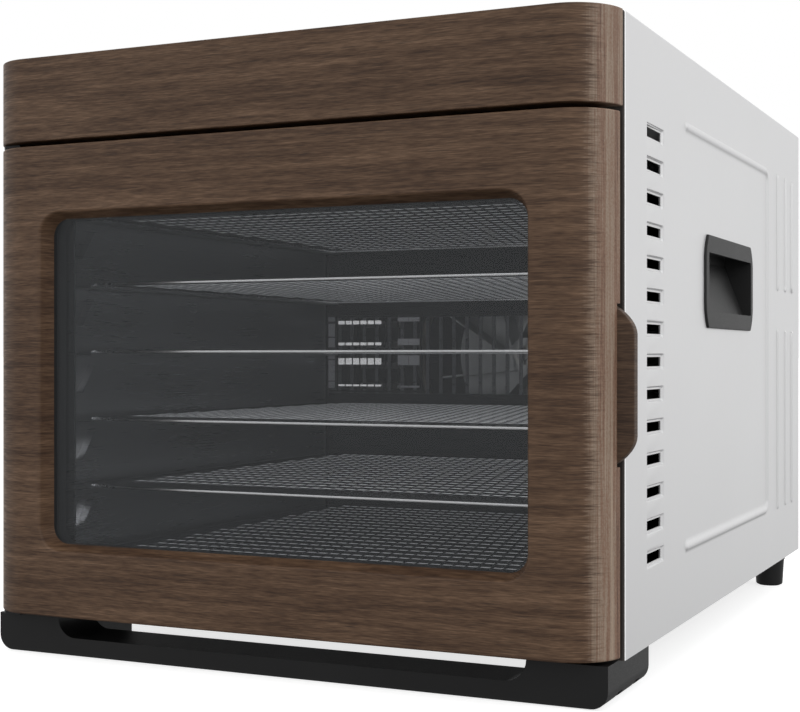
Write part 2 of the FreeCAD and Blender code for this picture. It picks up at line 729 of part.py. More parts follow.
def fan_nut():
    """Hexagon nut that clamps the impeller."""
    across_corners = 15.0
    corners = []
    for index in range(6):
        angle = math.radians(60 * index)
        x = across_corners / 2 * math.cos(angle)
        corners.append((x, FAN_FRONT - 5.5, FAN_Z + across_corners / 2 * math.sin(angle)))
    nut = polygon_prism(corners, (0, 4.5, 0))
    return nut.cut(rod_y(SHAFT_RADIUS + PRESS_GAP, 0, FAN_Z, FAN_FRONT - 8, FAN_FRONT))


def motor_rotor():
    """Rotor on the shaft, inside the motor."""
    return tube_y(ROTOR_RADIUS, SHAFT_RADIUS + PRESS_GAP, 0, FAN_Z, 182, 195)


def fan_motor():
    """Motor body with its rotor space and two bearing seats."""
    body = rod_y(MOTOR_RADIUS, 0, FAN_Z, MOTOR_FRONT, MOTOR_REAR)
    bearing_bore = rod_y(BEARING_RADIUS + PRESS_GAP, 0, FAN_Z, MOTOR_FRONT - 1, MOTOR_REAR + 1)
    rotor_space = rod_y(ROTOR_RADIUS + 0.5, 0, FAN_Z, 180.5, 196.5)
    return body.cut([bearing_bore, rotor_space])


def motor_bearings():
    """Front and rear bearings of the motor."""
    bearings = []
    for start in (MOTOR_FRONT, MOTOR_REAR - BEARING_LENGTH):
        bearings.append(
            tube_y(BEARING_RADIUS, SHAFT_RADIUS + RUNNING_GAP, 0, FAN_Z, start, start + BEARING_LENGTH)
        )
    return bearings


def motor_bracket():
    """Round plate between the motor and the fan wall."""
    return tube_y(MOTOR_RADIUS + 8, SHAFT_HOLE, 0, FAN_Z, FAN_WALL_FACE + SHEET, MOTOR_FRONT)


def heater_terminals():
    """Where the two ends of the heater pass through the fan wall."""
    offset = 12.0
    drop = math.sqrt(HEATER_RING ** 2 - offset ** 2)
    return [(-offset, FAN_Z - drop), (offset, FAN_Z - drop)]


def heater_element():
    """Sheathed ring heater round the fan, with two ends through the wall."""
    ring = Part.makeTorus(HEATER_RING, HEATER_ROD, Vector(0, HEATER_Y, FAN_Z), Vector(0, 1, 0))
    ends = [rod_y(HEATER_END, x, z, HEATER_Y, FAN_WALL_FACE + 12) for x, z in heater_terminals()]
    return ring.fuse(ends)


def heater_clips():
    """Posts from the fan wall that hold the heater ring."""
    clips = []
    for angle in (30, 150, 230, 310):
        x = HEATER_RING * math.cos(math.radians(angle))
        z = FAN_Z + HEATER_RING * math.sin(math.radians(angle))
        clips.append(rod_y(2.5, x, z, HEATER_Y + HEATER_ROD + 0.1, FAN_WALL_FACE))
    return clips


# ---------------------------------------------------------------- electrics
BOARD_Z = 262.0


def power_board():
    """Power board with its soldered transformer, relay and capacitor."""
    board = box(-60, 60, 60, 150, BOARD_Z, BOARD_Z + 1.6)
    transformer = box(-50, -14, 72, 104, BOARD_Z + 1.5, BOARD_Z + 31)
    relay = box(6, 26, 74, 90, BOARD_Z + 1.5, BOARD_Z + 17)
    capacitor = rod_z(8, 42, 112, BOARD_Z + 1.5, BOARD_Z + 26)
    return board.fuse([transformer, relay, capacitor])


def board_standoffs():
    """Posts between the chamber roof and the power board."""
    roof = CHAMBER_ROOF + SHEET
    return [rod_z(3, x, y, roof, BOARD_Z) for x in (-54, 54) for y in (66, 144)]


def control_board():
    """Control board behind the front frame."""
    board = box(-75, 75, LINER_FRONT, LINER_FRONT + 1.6, 268, 300)
    chip = box(-8, 8, LINER_FRONT + 1.5, LINER_FRONT + 4, 278, 292)
    cable_slot = box(-9, 9, LINER_FRONT - 1, LINER_FRONT + 3, 273.5, 276)
    return board.fuse(chip).cut(cable_slot)


def display_module():
    """Display and touch sensor behind the face of the control panel."""
    face = TRIM_FACE + PANEL_WALL
    plate = box(-42, 42, face, face + 2.5, 274, 298)
    plug = box(-12, 12, face + 2, face + 8, 278, 290)
    return plate.fuse(plug)


def ribbon_cable():
    """Flat cable from the display through the front frame to the power board."""
    front = box(-8, 8, TRIM_FACE + PANEL_WALL + 8, LINER_FRONT - 0.5, 273.5, 274.3)
    climb = box(-8, 8, LINER_FRONT + 5, LINER_FRONT + 5.8, BOARD_Z + 4, 275)
    under = box(-8, 8, LINER_FRONT + 5, 60, BOARD_Z + 3.2, BOARD_Z + 4)
    drop = box(-8, 8, TRIM_FACE + PANEL_WALL + 8, TRIM_FACE + PANEL_WALL + 8.8, 273.5, 280)
    through = box(-8, 8, LINER_FRONT - 0.5, LINER_FRONT + 5.8, 274.3, 275.1)
    link = box(-8, 8, LINER_FRONT - 1.3, LINER_FRONT - 0.5, 273.5, 275.1)
    return front.fuse([climb, under, drop, through, link]).removeSplitter()


def wire(points, radius):
    """Insulated lead: straight runs with round elbows."""
    vectors = [Vector(*point) for point in points]
    runs = []
    for start, end in zip(vectors, vectors[1:]):
        runs.append(Part.makeCylinder(radius, (end - start).Length, start, end - start))
    elbows = [Part.makeSphere(radius, point) for point in vectors[1:-1]]
    return runs[0].fuse(runs[1:] + elbows)


def mains_wiring():
    """Leads from the inlet to the power board and on to the motor and the heater."""
    board_edge = 150.0
    low = BOARD_Z + 0.8
    leads = [
        wire([(INLET_X - 4, 194, INLET_Z), (INLET_X - 4, 186, INLET_Z), (INLET_X - 4, 186, low),
              (-40, 186, low), (-40, board_edge, low)], 1.2),
        wire([(INLET_X + 4, 194, INLET_Z), (INLET_X + 4, 180, INLET_Z), (INLET_X + 4, 180, low),
              (-30, 180, low), (-30, board_edge, low)], 1.2),
        wire([(20, board_edge, low), (20, 212, low), (20, 212, 180), (20, MOTOR_REAR, 180)], 1.2),
    ]
    for (x, z), top in zip(heater_terminals(), (-52, 52)):
        leads.append(
            wire([(x, FAN_WALL_FACE + 12, z), (x, FAN_WALL_FACE + 18, z), (top, FAN_WALL_FACE + 18, z),
                  (top, FAN_WALL_FACE + 18, low), (top, board_edge, low)], 1.2)
        )
    return leads


def thermal_cutout():
    """Snap-disc thermostat on the rear of the fan wall."""
    wall = FAN_WALL_FACE + SHEET
    disc = rod_y(8, 75, 210, wall, wall + 9)
    flange = box(63, 87, wall, wall + 1, 205, 215)
    return disc.fuse(flange)


def air_temperature_sensor():
    """Probe that stands out of the fan guard above the top tray."""
    stem = rod_y(2, 100, 244, 100, GUARD_FACE)
    collar = rod_y(4, 100, 244, GUARD_FACE - 2, GUARD_FACE)
    return stem.fuse(collar)


def power_inlet():
    """Three-blade appliance inlet on the rear panel."""
    flange = box(
        INLET_X - 25, INLET_X + 25, REAR_PANEL_FACE, REAR_PANEL_FACE + 2.5, INLET_Z - 12, INLET_Z + 12
    )
    half = INLET_HALF - INLET_PLAY
    rise = INLET_RISE - INLET_PLAY
    body = box(INLET_X - half, INLET_X + half, 194, REAR_PANEL_FACE + 0.5, INLET_Z - rise, INLET_Z + rise)
    socket = box(INLET_X - 12, INLET_X + 12, 203, REAR_PANEL_FACE + 5, INLET_Z - 8, INLET_Z + 8)
    blades = []
    for offset, lift in ((-7, -1.5), (0, 2.5), (7, -1.5)):
        x = INLET_X + offset
        z = INLET_Z + lift
        blades.append(box(x - 1, x + 1, 202, REAR_PANEL_FACE, z - 2, z + 2))
    return body.fuse(flange).cut(socket).fuse(blades)


# ---------------------------------------------------------------- handles, feet and screws
def handle_outline(x, inset):
    """Corners of the eight-sided handle outline, moved in from the rim's edge."""
    chamfer = HANDLE_CHAMFER - inset * (2 - math.sqrt(2))
    front = HANDLE_FRONT + inset
    rear = HANDLE_REAR - inset
    low = HANDLE_LOW + inset
    high = HANDLE_HIGH - inset
    return [
        (x, front + chamfer, low), (x, rear - chamfer, low),
        (x, rear, low + chamfer), (x, rear, high - chamfer),
        (x, rear - chamfer, high), (x, front + chamfer, high),
        (x, front, high - chamfer), (x, front, low + chamfer),
    ]


def carry_handle():
    """Right-hand recessed handle: proud rim and a cup with an undercut finger hold."""
    proud = HALF_WIDTH + HANDLE_PROUD
    rim = polygon_prism(handle_outline(HALF_WIDTH, 0), (HANDLE_PROUD, 0, 0))
    cup_depth = HALF_WIDTH - HANDLE_BACK
    cup = polygon_prism(handle_outline(HANDLE_BACK, HANDLE_RIM + 0.2), (cup_depth, 0, 0))
    mouth_low = HANDLE_LOW + 9
    mouth_high = HANDLE_HIGH - 9.5
    front = HANDLE_FRONT + 6
    back = HANDLE_BACK + HANDLE_WALL
    section = [
        (proud + 1, front, mouth_low), (proud - 5, front, mouth_low), (back, front, mouth_high - 2),
        (back, front, mouth_high + 4), (proud - 5, front, mouth_high + 4),
        (proud - 3.5, front, mouth_high), (proud + 1, front, mouth_high),
    ]
    cavity = polygon_prism(section, (0, HANDLE_REAR - HANDLE_FRONT - 12, 0))
    limit = polygon_prism(handle_outline(HANDLE_BACK, HANDLE_RIM + 2.4), (cup_depth + 5, 0, 0))
    return cup.fuse(rim).removeSplitter().cut(cavity.common(limit))


def front_foot_bar():
    """One-piece front skid: two end blocks joined by a low rail, open above the rail."""
    bar = box(-BAR_HALF, BAR_HALF, BAR_FRONT, BAR_ARM_REAR, PAD_RISE, FOOT_HEIGHT)
    ends = edges_at(bar, lambda middle: abs(middle.x) > BAR_HALF - 0.01 and middle.z < PAD_RISE + 0.01)
    bar = bar.makeFillet(BAR_CORNER, ends)
    fillet = FOOT_HEIGHT - BAR_RAIL_TOP
    gap = box(
        -BAR_GAP_HALF, BAR_GAP_HALF, BAR_FRONT - 1, BAR_ARM_REAR + 1, BAR_RAIL_TOP, FOOT_HEIGHT + 1
    )
    gap_end = rod_y(fillet, BAR_GAP_HALF, FOOT_HEIGHT, BAR_FRONT - 1, BAR_ARM_REAR + 1)
    behind_half = BAR_GAP_HALF + fillet
    behind = box(-behind_half, behind_half, BAR_RAIL_REAR, BAR_ARM_REAR + 1, -1, FOOT_HEIGHT + 1)
    pad_pockets = both_sides(front_pad())
    screw_holes = both_sides(rod_z(2.2, 148, -196, 4, FOOT_HEIGHT + 1))
    screw_holes += both_sides(rod_z(2.2, 148, -164, 4, FOOT_HEIGHT + 1))
    return bar.cut([gap, behind] + both_sides(gap_end) + pad_pockets + screw_holes)


def front_pad():
    """Rubber pad let into the underside of the right-hand arm."""
    return box(136, 156, -204, -158, 0, 2.5)


def rear_foot():
    """Tapered round foot at the right rear."""
    cone = Part.makeCone(
        REAR_FOOT_LOW_RADIUS, REAR_FOOT_TOP_RADIUS, FOOT_HEIGHT - PAD_RISE,
        Vector(REAR_FOOT_X, REAR_FOOT_Y, PAD_RISE), Vector(0, 0, 1),
    )
    hole = rod_z(2.2, REAR_FOOT_X, REAR_FOOT_Y, 4, FOOT_HEIGHT + 1)
    return cone.cut([rear_pad(), hole])


def rear_pad():
    """Rubber disc under the right rear foot."""
    return rod_z(7, REAR_FOOT_X, REAR_FOOT_Y, 0, 2.5)


def foot_screws():
    """Screws that hold the feet to the base pan."""
    places = [(148, -196), (148, -164), (REAR_FOOT_X, REAR_FOOT_Y)]
    screws = []
    for x, y in places:
        screws.extend(both_sides(rod_z(2.0, x, y, 5, FOOT_HEIGHT)))
    return screws


def case_screws():
    """Pan-head screws in the rear edge of the case."""
    half = HALF_WIDTH - 8
    places = [(half, 40), (half, 164), (half, 292), (90, 300), (0, 300)]
    screws = []
    for x, z in places:
        head = rod_y(3.2, x, z, REAR_PANEL_FACE, REAR_PANEL_FACE + 2)
        screws.extend(both_sides(head) if x else [head])
    return screws


# ---------------------------------------------------------------- write every node
def main():
    os.makedirs(PARTS_FOLDER, exist_ok=True)

    save("outer_wrap", outer_wrap())
    save("base_pan", base_pan())
    save("front_frame", front_frame())
    save("rear_panel", rear_panel())
    save("rear_vent_grille", rear_vent_grille())
    save("case_screws", *case_screws())

    save("liner_right", liner_side())
    save("liner_left", mirrored(liner_side()))
    save("liner_floor", liner_plate(CHAMBER_FLOOR - SHEET))
    save("liner_roof", liner_plate(CHAMBER_ROOF))
    save("rack_wall_right", rack_wall())
    save("rack_wall_left", mirrored(rack_wall()))
    save("rack_ledges_right", *rack_ledges())
    save("rack_ledges_left", *[mirrored(ledge) for ledge in rack_ledges()])
    save("fan_guard", fan_guard())
    save("fan_wall", fan_wall())
    for index, height in enumerate(tray_heights()):
        save("tray_%d" % (index + 1), tray(height))

    save("control_panel", control_panel())
    save("door_frame", door_frame())
    save("door_glass", door_glass())
    save("door_inner_frame", door_inner_frame())
    save("door_screws", *door_screws())
    save("door_seal", door_seal())
    save("door_handle_tab", door_handle_tab())
    save("door_magnets", *door_magnets())
    save("catch_plates", *catch_plates())
    save("upper_hinge_bracket", hinge_bracket(UPPER_BRACKET_LOW, UPPER_BRACKET_LOW, CASE_TOP - 30))
    save("lower_hinge_bracket", hinge_bracket(FOOT_HEIGHT, FOOT_HEIGHT, FOOT_HEIGHT + 5))
    save("hinge_pins", *hinge_pins())
    save("hinge_bushes", *hinge_bushes())

    save("fan_impeller", fan_impeller())
    save("motor_shaft", rod_y(SHAFT_RADIUS, 0, FAN_Z, FAN_FRONT - 7, MOTOR_REAR - 1))
    save("motor_rotor", motor_rotor())
    save("fan_nut", fan_nut())
    save("fan_motor", fan_motor())
    save("motor_bearings", *motor_bearings())
    save("motor_bracket", motor_bracket())
    save("heater_element", heater_element())
    save("heater_clips", *heater_clips())

    save("power_board", power_board())
    save("board_standoffs", *board_standoffs())
    save("control_board", control_board())
    save("display_module", display_module())
    save("ribbon_cable", ribbon_cable())
    save("mains_wiring", *mains_wiring())
    save("thermal_cutout", thermal_cutout())
    save("air_temperature_sensor", air_temperature_sensor())
    save("power_inlet", power_inlet())

    save("carry_handle_right", carry_handle())
    save("carry_handle_left", mirrored(carry_handle()))
    save("front_foot_bar", front_foot_bar())
    save("rear_foot_right", rear_foot())
    save("rear_foot_left", mirrored(rear_foot()))
    save("foot_pads", *(both_sides(front_pad()) + both_sides(rear_pad())))
    save("foot_screws", *foot_screws())


main()
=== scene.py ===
"""Looks of the food dehydrator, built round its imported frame.

Shapes are given in millimetres in the frame's axes: +X right as a person faces the door, +Y to
the rear, +Z up. Meshes are stored in metres, and materials and the studio are set in metres.
"""

import json
import math

import bmesh
import bpy
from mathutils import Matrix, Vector


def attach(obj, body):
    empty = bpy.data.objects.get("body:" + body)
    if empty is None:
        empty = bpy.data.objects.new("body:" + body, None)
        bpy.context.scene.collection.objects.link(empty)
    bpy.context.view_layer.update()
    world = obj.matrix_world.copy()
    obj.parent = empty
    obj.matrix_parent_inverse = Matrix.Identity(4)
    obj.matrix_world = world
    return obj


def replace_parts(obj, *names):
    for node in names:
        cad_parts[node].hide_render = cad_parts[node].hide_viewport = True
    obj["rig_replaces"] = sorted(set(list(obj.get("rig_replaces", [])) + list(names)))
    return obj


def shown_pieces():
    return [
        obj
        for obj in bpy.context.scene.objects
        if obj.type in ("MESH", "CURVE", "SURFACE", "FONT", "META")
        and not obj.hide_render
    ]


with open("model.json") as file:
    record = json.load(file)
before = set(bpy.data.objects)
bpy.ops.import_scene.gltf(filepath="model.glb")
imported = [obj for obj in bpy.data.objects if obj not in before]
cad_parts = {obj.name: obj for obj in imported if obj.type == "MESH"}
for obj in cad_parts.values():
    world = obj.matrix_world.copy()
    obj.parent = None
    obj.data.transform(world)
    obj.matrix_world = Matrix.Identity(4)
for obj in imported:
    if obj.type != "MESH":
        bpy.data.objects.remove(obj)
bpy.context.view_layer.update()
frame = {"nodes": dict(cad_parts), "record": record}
NODES = frame["nodes"]

# Planes and edges of the frame that the detailed pieces keep to.
MM = 0.001
HALF_WIDTH = 169.0
REAR_EDGE = 225.0
CASE_TOP = 308.0
CASE_FACE = -199.6
FOOT_HEIGHT = 19.7
DOOR_REAR = -205.2
INNER_FRAME_FACE = -207.6
TAB_LOW = 105.7
TAB_HIGH = 177.5

# Fineness of the round shapes, and the angle from which an edge counts as sharp.
CORNER_STEPS = 8
CIRCLE_STEPS = 24
SHARP_ANGLE = 35.0


# ---------------------------------------------------------------- mesh helpers
def new_object(name, bm):
    """Turn a bmesh into an object with smooth faces and sharp edges."""
    mesh = bpy.data.meshes.new(name)
    bm.to_mesh(mesh)
    bm.free()
    for polygon in mesh.polygons:
        polygon.use_smooth = True
    mesh.set_sharp_from_angle(angle=math.radians(SHARP_ANGLE))
    thing = bpy.data.objects.new(name, mesh)
    bpy.context.scene.collection.objects.link(thing)
    return thing


def loft(loops, caps=True):
    """Closed solid through loops of equal length, in millimetres."""
    bm = bmesh.new()
    rings = [[bm.verts.new([c * MM for c in point]) for point in loop] for loop in loops]
    count = len(loops[0])
    for low, high in zip(rings, rings[1:]):
        for index in range(count):
            after = (index + 1) % count
            bm.faces.new((low[index], low[after], high[after], high[index]))
    if caps:
        bm.faces.new(rings[0][::-1])
        bm.faces.new(rings[-1])
    bmesh.ops.recalc_face_normals(bm, faces=bm.faces)
    return bm


def bake(thing):
    """Apply every modifier of an object."""
    graph = bpy.context.evaluated_depsgraph_get()
    mesh = bpy.data.meshes.new_from_object(thing.evaluated_get(graph))
    old = thing.data
    thing.modifiers.clear()
    thing.data = mesh
    mesh.name = thing.name
    bpy.data.meshes.remove(old)


def carve(thing, bm, operation="DIFFERENCE"):
    """Cut a bmesh solid out of an object, or join it on."""
    tool = new_object("tool", bm)
    modifier = thing.modifiers.new("carve", "BOOLEAN")
    modifier.operation = operation
    modifier.solver = "EXACT"
    modifier.object = tool
    bake(thing)
    bpy.data.objects.remove(tool)


def soften(thing, width, segments, angle):
    """Round the edges that turn by more than an angle."""
    modifier = thing.modifiers.new("edges", "BEVEL")
    modifier.width = width * MM
    modifier.segments = segments
    modifier.limit_method = "ANGLE"
    modifier.angle_limit = math.radians(angle)
    bake(thing)


def finish_piece(thing, body, material, replaces=(), sharp=SHARP_ANGLE):
    """Shade a finished mesh, give it its material and hang it on its body."""
    mesh = thing.data
    for polygon in mesh.polygons:
        polygon.use_smooth = True
    mesh.set_sharp_from_angle(angle=math.radians(sharp))
    weighted = thing.modifiers.new("normals", "WEIGHTED_NORMAL")
    weighted.keep_sharp = True
    mesh.materials.clear()
    mesh.materials.append(material)
    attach(thing, body)
    if replaces:
        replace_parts(thing, *replaces)


def smooth_step(value):
    """Ease from 0 to 1."""
    value = min(max(value, 0.0), 1.0)
    return value * value * (3 - 2 * value)


def rounded_loop(half_x, z0, z1, radius, y):
    """Rounded rectangle in a plane of constant Y."""
    loop = []
    corners = (
        (half_x - radius, z1 - radius, 0), (-half_x + radius, z1 - radius, 90),
        (-half_x + radius, z0 + radius, 180), (half_x - radius, z0 + radius, 270),
    )
    for x, z, start in corners:
        for step in range(CORNER_STEPS + 1):
            angle = math.radians(start + 90.0 * step / CORNER_STEPS)
            loop.append((x + radius * math.cos(angle), y, z + radius * math.sin(angle)))
    return loop


def box_loops(x0, x1, y0, y1, z0, z1):
    """Two loops that loft into a block."""
    return [[(x0, y0, z), (x1, y0, z), (x1, y1, z), (x0, y1, z)] for z in (z0, z1)]


def circle(radius, steps=CIRCLE_STEPS):
    """Points round a circle, as offsets from its centre."""
    turns = [math.radians(360.0 * step / steps) for step in range(steps)]
    return [(radius * math.cos(turn), radius * math.sin(turn)) for turn in turns]


def lathe(profile, x, y):
    """Solid of revolution about a vertical axis, from (radius, z) pairs."""
    steps = 2 * CIRCLE_STEPS
    return loft([[(x + a, y + b, z) for a, b in circle(radius, steps)] for radius, z in profile])


# ---------------------------------------------------------------- material helpers
class Finish:
    """One procedural material with a Principled shader."""

    def __init__(self, name, colour, roughness=0.5, metallic=0.0):
        self.material = bpy.data.materials.new(name)
        self.material.use_nodes = True
        self.tree = self.material.node_tree
        self.shader = self.tree.nodes["Principled BSDF"]
        self.set("Base Color", (*colour, 1.0))
        self.set("Roughness", roughness)
        self.set("Metallic", metallic)
        coordinates = self.node("ShaderNodeTexCoord")
        self.place = coordinates.outputs["Object"]

    def node(self, kind, **settings):
        made = self.tree.nodes.new(kind)
        for key, value in settings.items():
            setattr(made, key, value)
        return made

    def link(self, source, target):
        self.tree.links.new(source, target)

    def set(self, socket, value):
        self.shader.inputs[socket].default_value = value

    def feed(self, target, value):
        """Set a socket from a number or a colour, or join it to another socket."""
        if isinstance(value, (int, float)):
            target.default_value = value
        elif isinstance(value, tuple):
            target.default_value = (*value, 1.0)
        else:
            self.link(value, target)

    def noise(self, scale, detail=3.0, roughness=0.5, shift=0.0):
        """Noise with its own number of features per metre along each axis."""
        mapping = self.node("ShaderNodeMapping")
        mapping.inputs["Scale"].default_value = scale
        mapping.inputs["Location"].default_value = (shift, shift * 0.7, shift * 1.3)
        self.link(self.place, mapping.inputs["Vector"])
        noise = self.node("ShaderNodeTexNoise")
        noise.inputs["Scale"].default_value = 1.0
        noise.inputs["Detail"].default_value = detail
        noise.inputs["Roughness"].default_value = roughness
        self.link(mapping.outputs["Vector"], noise.inputs["Vector"])
        return noise.outputs["Fac"]

    def calc(self, operation, a, b=0.0):
        made = self.node("ShaderNodeMath", operation=operation)
        self.feed(made.inputs[0], a)
        self.feed(made.inputs[1], b)
        return made.outputs[0]

    def weigh(self, a, share_a, b, share_b):
        """Weighted sum of two values."""
        return self.calc("ADD", self.calc("MULTIPLY", a, share_a), self.calc("MULTIPLY", b, share_b))

    def span(self, value, from_low, from_high, to_low=0.0, to_high=1.0):
        """Map a range of one value to another."""
        made = self.node("ShaderNodeMapRange")
        self.feed(made.inputs["Value"], value)
        made.inputs["From Min"].default_value = from_low
        made.inputs["From Max"].default_value = from_high
        made.inputs["To Min"].default_value = to_low
        made.inputs["To Max"].default_value = to_high
        return made.outputs["Result"]

    def ramp(self, value, stops):
        """Colour ramp from (position, colour) pairs."""
        made = self.node("ShaderNodeValToRGB")
        self.feed(made.inputs["Fac"], value)
        elements = made.color_ramp.elements
        while len(elements) < len(stops):
            elements.new(0.5)
        for element, (position, colour) in zip(elements, stops):
            element.position = position
            element.color = (*colour, 1.0)
        return made.outputs["Color"]

    def mix(self, factor, a, b):
        made = self.node("ShaderNodeMix", data_type="RGBA", blend_type="MIX")
        self.feed(made.inputs[0], factor)
        self.feed(made.inputs[6], a)
        self.feed(made.inputs[7], b)
        return made.outputs[2]

    def colour(self, value):
        self.feed(self.shader.inputs["Base Color"], value)

    def rough(self, value):
        self.feed(self.shader.inputs["Roughness"], value)

    def bump(self, height, depth, strength):
        """Surface relief of a real depth in millimetres."""
        made = self.node("ShaderNodeBump")
        made.inputs["Strength"].default_value = strength
        made.inputs["Distance"].default_value = depth * MM
        self.link(height, made.inputs["Height"])
        self.link(made.outputs["Normal"], self.shader.inputs["Normal"])


def tint(colour, factor):
    """Scale a colour."""
    return tuple(min(1.0, c * factor) for c in colour)


def plastic(name, colour, roughness, grain=0.02, spread=0.12, gloss=0.5):
    """Moulded plastic with a fine spark texture and faint uneven gloss."""
    made = Finish(name, colour, roughness)
    made.set("Specular IOR Level", gloss)
    broad = made.noise((35, 35, 35), 3.0)
    fine = made.noise((2600, 2600, 2600), 2.0, shift=3.0)
    made.colour(made.ramp(broad, [(0.3, tint(colour, 1 - spread)), (0.7, tint(colour, 1 + spread))]))
    made.rough(made.span(fine, 0.3, 0.7, roughness - 0.07, roughness + 0.07))
    made.bump(fine, grain, 0.6)
    return made.material


def sheet_metal(name, colour, roughness, metallic=1.0, grain=(30, 30, 1400), spread=0.06, relief=0.004):
    """Steel sheet with rolling marks along one direction and soft clouding."""
    made = Finish(name, colour, roughness, metallic)
    lines = made.noise(grain, 4.0, 0.6)
    cloud = made.noise((14, 14, 14), 4.0, shift=5.0)
    worn = made.weigh(lines, 0.6, cloud, 0.4)
    made.colour(made.ramp(worn, [(0.3, tint(colour, 1 - spread)), (0.7, tint(colour, 1 + spread))]))
    made.rough(made.span(worn, 0.3, 0.7, roughness - 0.06, roughness + 0.06))
    made.bump(lines, relief, 0.5)
    return made.material


def walnut(name, side_highlight_else_shade=True):
    """Dark walnut-look foil: dashes of grain along X, with a painted highlight on the round sides: much
    lighter colour in upright streaks.
    """
    # Painted shade: without the side highlight, as for the tab, every front colour is darkened to 0.72,
    # the shade beside the door's round edge.
    depth = 1.0 if side_highlight_else_shade else 0.72
    turn_start, turn_end, ragged = 0.1575, 0.1635, 0.012

    def shade(*colour):
        return tint(colour, depth)

    made = Finish(name, (0.08, 0.052, 0.036), 0.6)
    made.set("Specular IOR Level", 0.3)
    band = made.noise((3.0, 3.0, 70.0), 3.0, 0.55)
    streak = made.noise((22.0, 22.0, 420.0), 5.0, 0.6, shift=2.0)
    dash = made.noise((120.0, 120.0, 1700.0), 3.0, 0.6, shift=7.0)
    pores = made.noise((75.0, 75.0, 2300.0), 2.0, 0.5, shift=11.0)
    grain = made.weigh(made.weigh(streak, 0.5, dash, 0.5), 0.78, band, 0.22)
    front = made.ramp(grain, [
        (0.36, shade(0.030, 0.0140, 0.0070)), (0.46, shade(0.067, 0.0345, 0.0180)),
        (0.54, shade(0.108, 0.0605, 0.0335)), (0.66, shade(0.185, 0.110, 0.066)),
    ])
    pore_mask = made.span(pores, 0.60, 0.68)
    front = made.mix(made.calc("MULTIPLY", pore_mask, 0.55), front, (0.03, 0.019, 0.013))
    height = made.calc("SUBTRACT", grain, made.calc("MULTIPLY", pore_mask, 0.35))
    colour = front
    if side_highlight_else_shade:
        column = made.noise((260.0, 260.0, 3.0), 3.0, 0.6, shift=1.0)
        hair = made.noise((1500.0, 1500.0, 26.0), 3.0, 0.6, shift=4.0)
        speck = made.noise((1300.0, 1300.0, 900.0), 2.0, 0.5, shift=9.0)
        upright = made.weigh(made.weigh(column, 0.5, hair, 0.35), 1.0, speck, 0.15)
        # Painted highlight: the round sides take these lighter colours in upright streaks, in place of
        # the light from the right that the curve reflects.
        side = made.ramp(upright, [
            (0.36, (0.095, 0.052, 0.036)), (0.45, (0.19, 0.110, 0.073)),
            (0.53, (0.25, 0.188, 0.140)), (0.64, (0.34, 0.250, 0.185)),
        ])
        parts = made.node("ShaderNodeSeparateXYZ")
        made.link(made.place, parts.inputs["Vector"])
        reach = made.calc("ABSOLUTE", parts.outputs["X"])
        reach = made.weigh(reach, 1.0, made.calc("SUBTRACT", dash, 0.5), ragged)
        turn = made.span(reach, turn_start, turn_end)
        colour = made.mix(turn, front, side)
    made.colour(colour)
    made.rough(made.span(grain, 0.35, 0.65, 0.62, 0.48))
    made.bump(height, 0.05, 0.55)
    return made.material


def slot_walls_painted_glow():
    """Walls of the punched slots: bright steel with a faint painted glow that stands in for the light
    falling in from the front.
    """
    made = Finish("slot_walls_painted_glow", (0.9, 0.91, 0.93), 0.6, 0.9)
    nick = made.noise((900, 900, 900), 2.0)
    made.colour(made.ramp(nick, [(0.3, (0.84, 0.85, 0.87)), (0.7, (0.94, 0.95, 0.97))]))
    made.rough(made.span(nick, 0.3, 0.7, 0.55, 0.65))
    # Painted light: the slot walls glow a little, though nothing in them is a lamp.
    made.set("Emission Color", (0.92, 0.96, 1.0, 1.0))
    made.set("Emission Strength", 0.14)
    return made.material


def guard_steel():
    """Near-black sheet, painted shade of the dim chamber, whose bars between the slots carry a painted
    highlight: a lighter band of colour in place of the light on their edges.
    """
    band_middle, band_half, blur = 0.155, 0.0271, 0.0003
    made = Finish("guard_steel", (0.03, 0.031, 0.033), 0.3, 1.0)
    parts = made.node("ShaderNodeSeparateXYZ")
    made.link(made.place, parts.inputs["Vector"])
    # Painted highlight: the band of bars between the slots is coloured lighter than the rest of the
    # sheet.
    away = made.calc("ABSOLUTE", made.calc("SUBTRACT", parts.outputs["Z"], band_middle))
    painted_highlight_band = made.span(away, band_half - blur, band_half + blur, 1.0, 0.0)
    lines = made.noise((30, 30, 1400), 4.0, 0.6)
    bright = made.ramp(lines, [(0.3, (0.10, 0.102, 0.11)), (0.7, (0.15, 0.153, 0.165))])
    made.colour(made.mix(painted_highlight_band, (0.03, 0.031, 0.033), bright))
    made.rough(made.span(lines, 0.3, 0.7, 0.25, 0.36))
    made.bump(lines, 0.004, 0.5)
    return made.material


def tinted_glass():
    """Smoke-tinted door pane, with a faint painted reflection."""
    made = Finish("tinted_glass", (0.010, 0.012, 0.014), 0.02)
    made.set("IOR", 1.5)
    # Painted reflection: the pane glows faintly, an even pale haze in place of the studio it reflects.
    made.set("Emission Color", (0.92, 0.96, 1.0, 1.0))
    made.set("Emission Strength", 0.045)
    smear = made.noise((9, 9, 14), 4.0)
    made.rough(made.span(smear, 0.35, 0.7, 0.012, 0.03))
    tinge = made.ramp(smear, [(0.3, (0.009, 0.011, 0.013)), (0.7, (0.012, 0.014, 0.016))])
    made.colour(tinge)
    made.set("Alpha", 0.2)
    return made.material


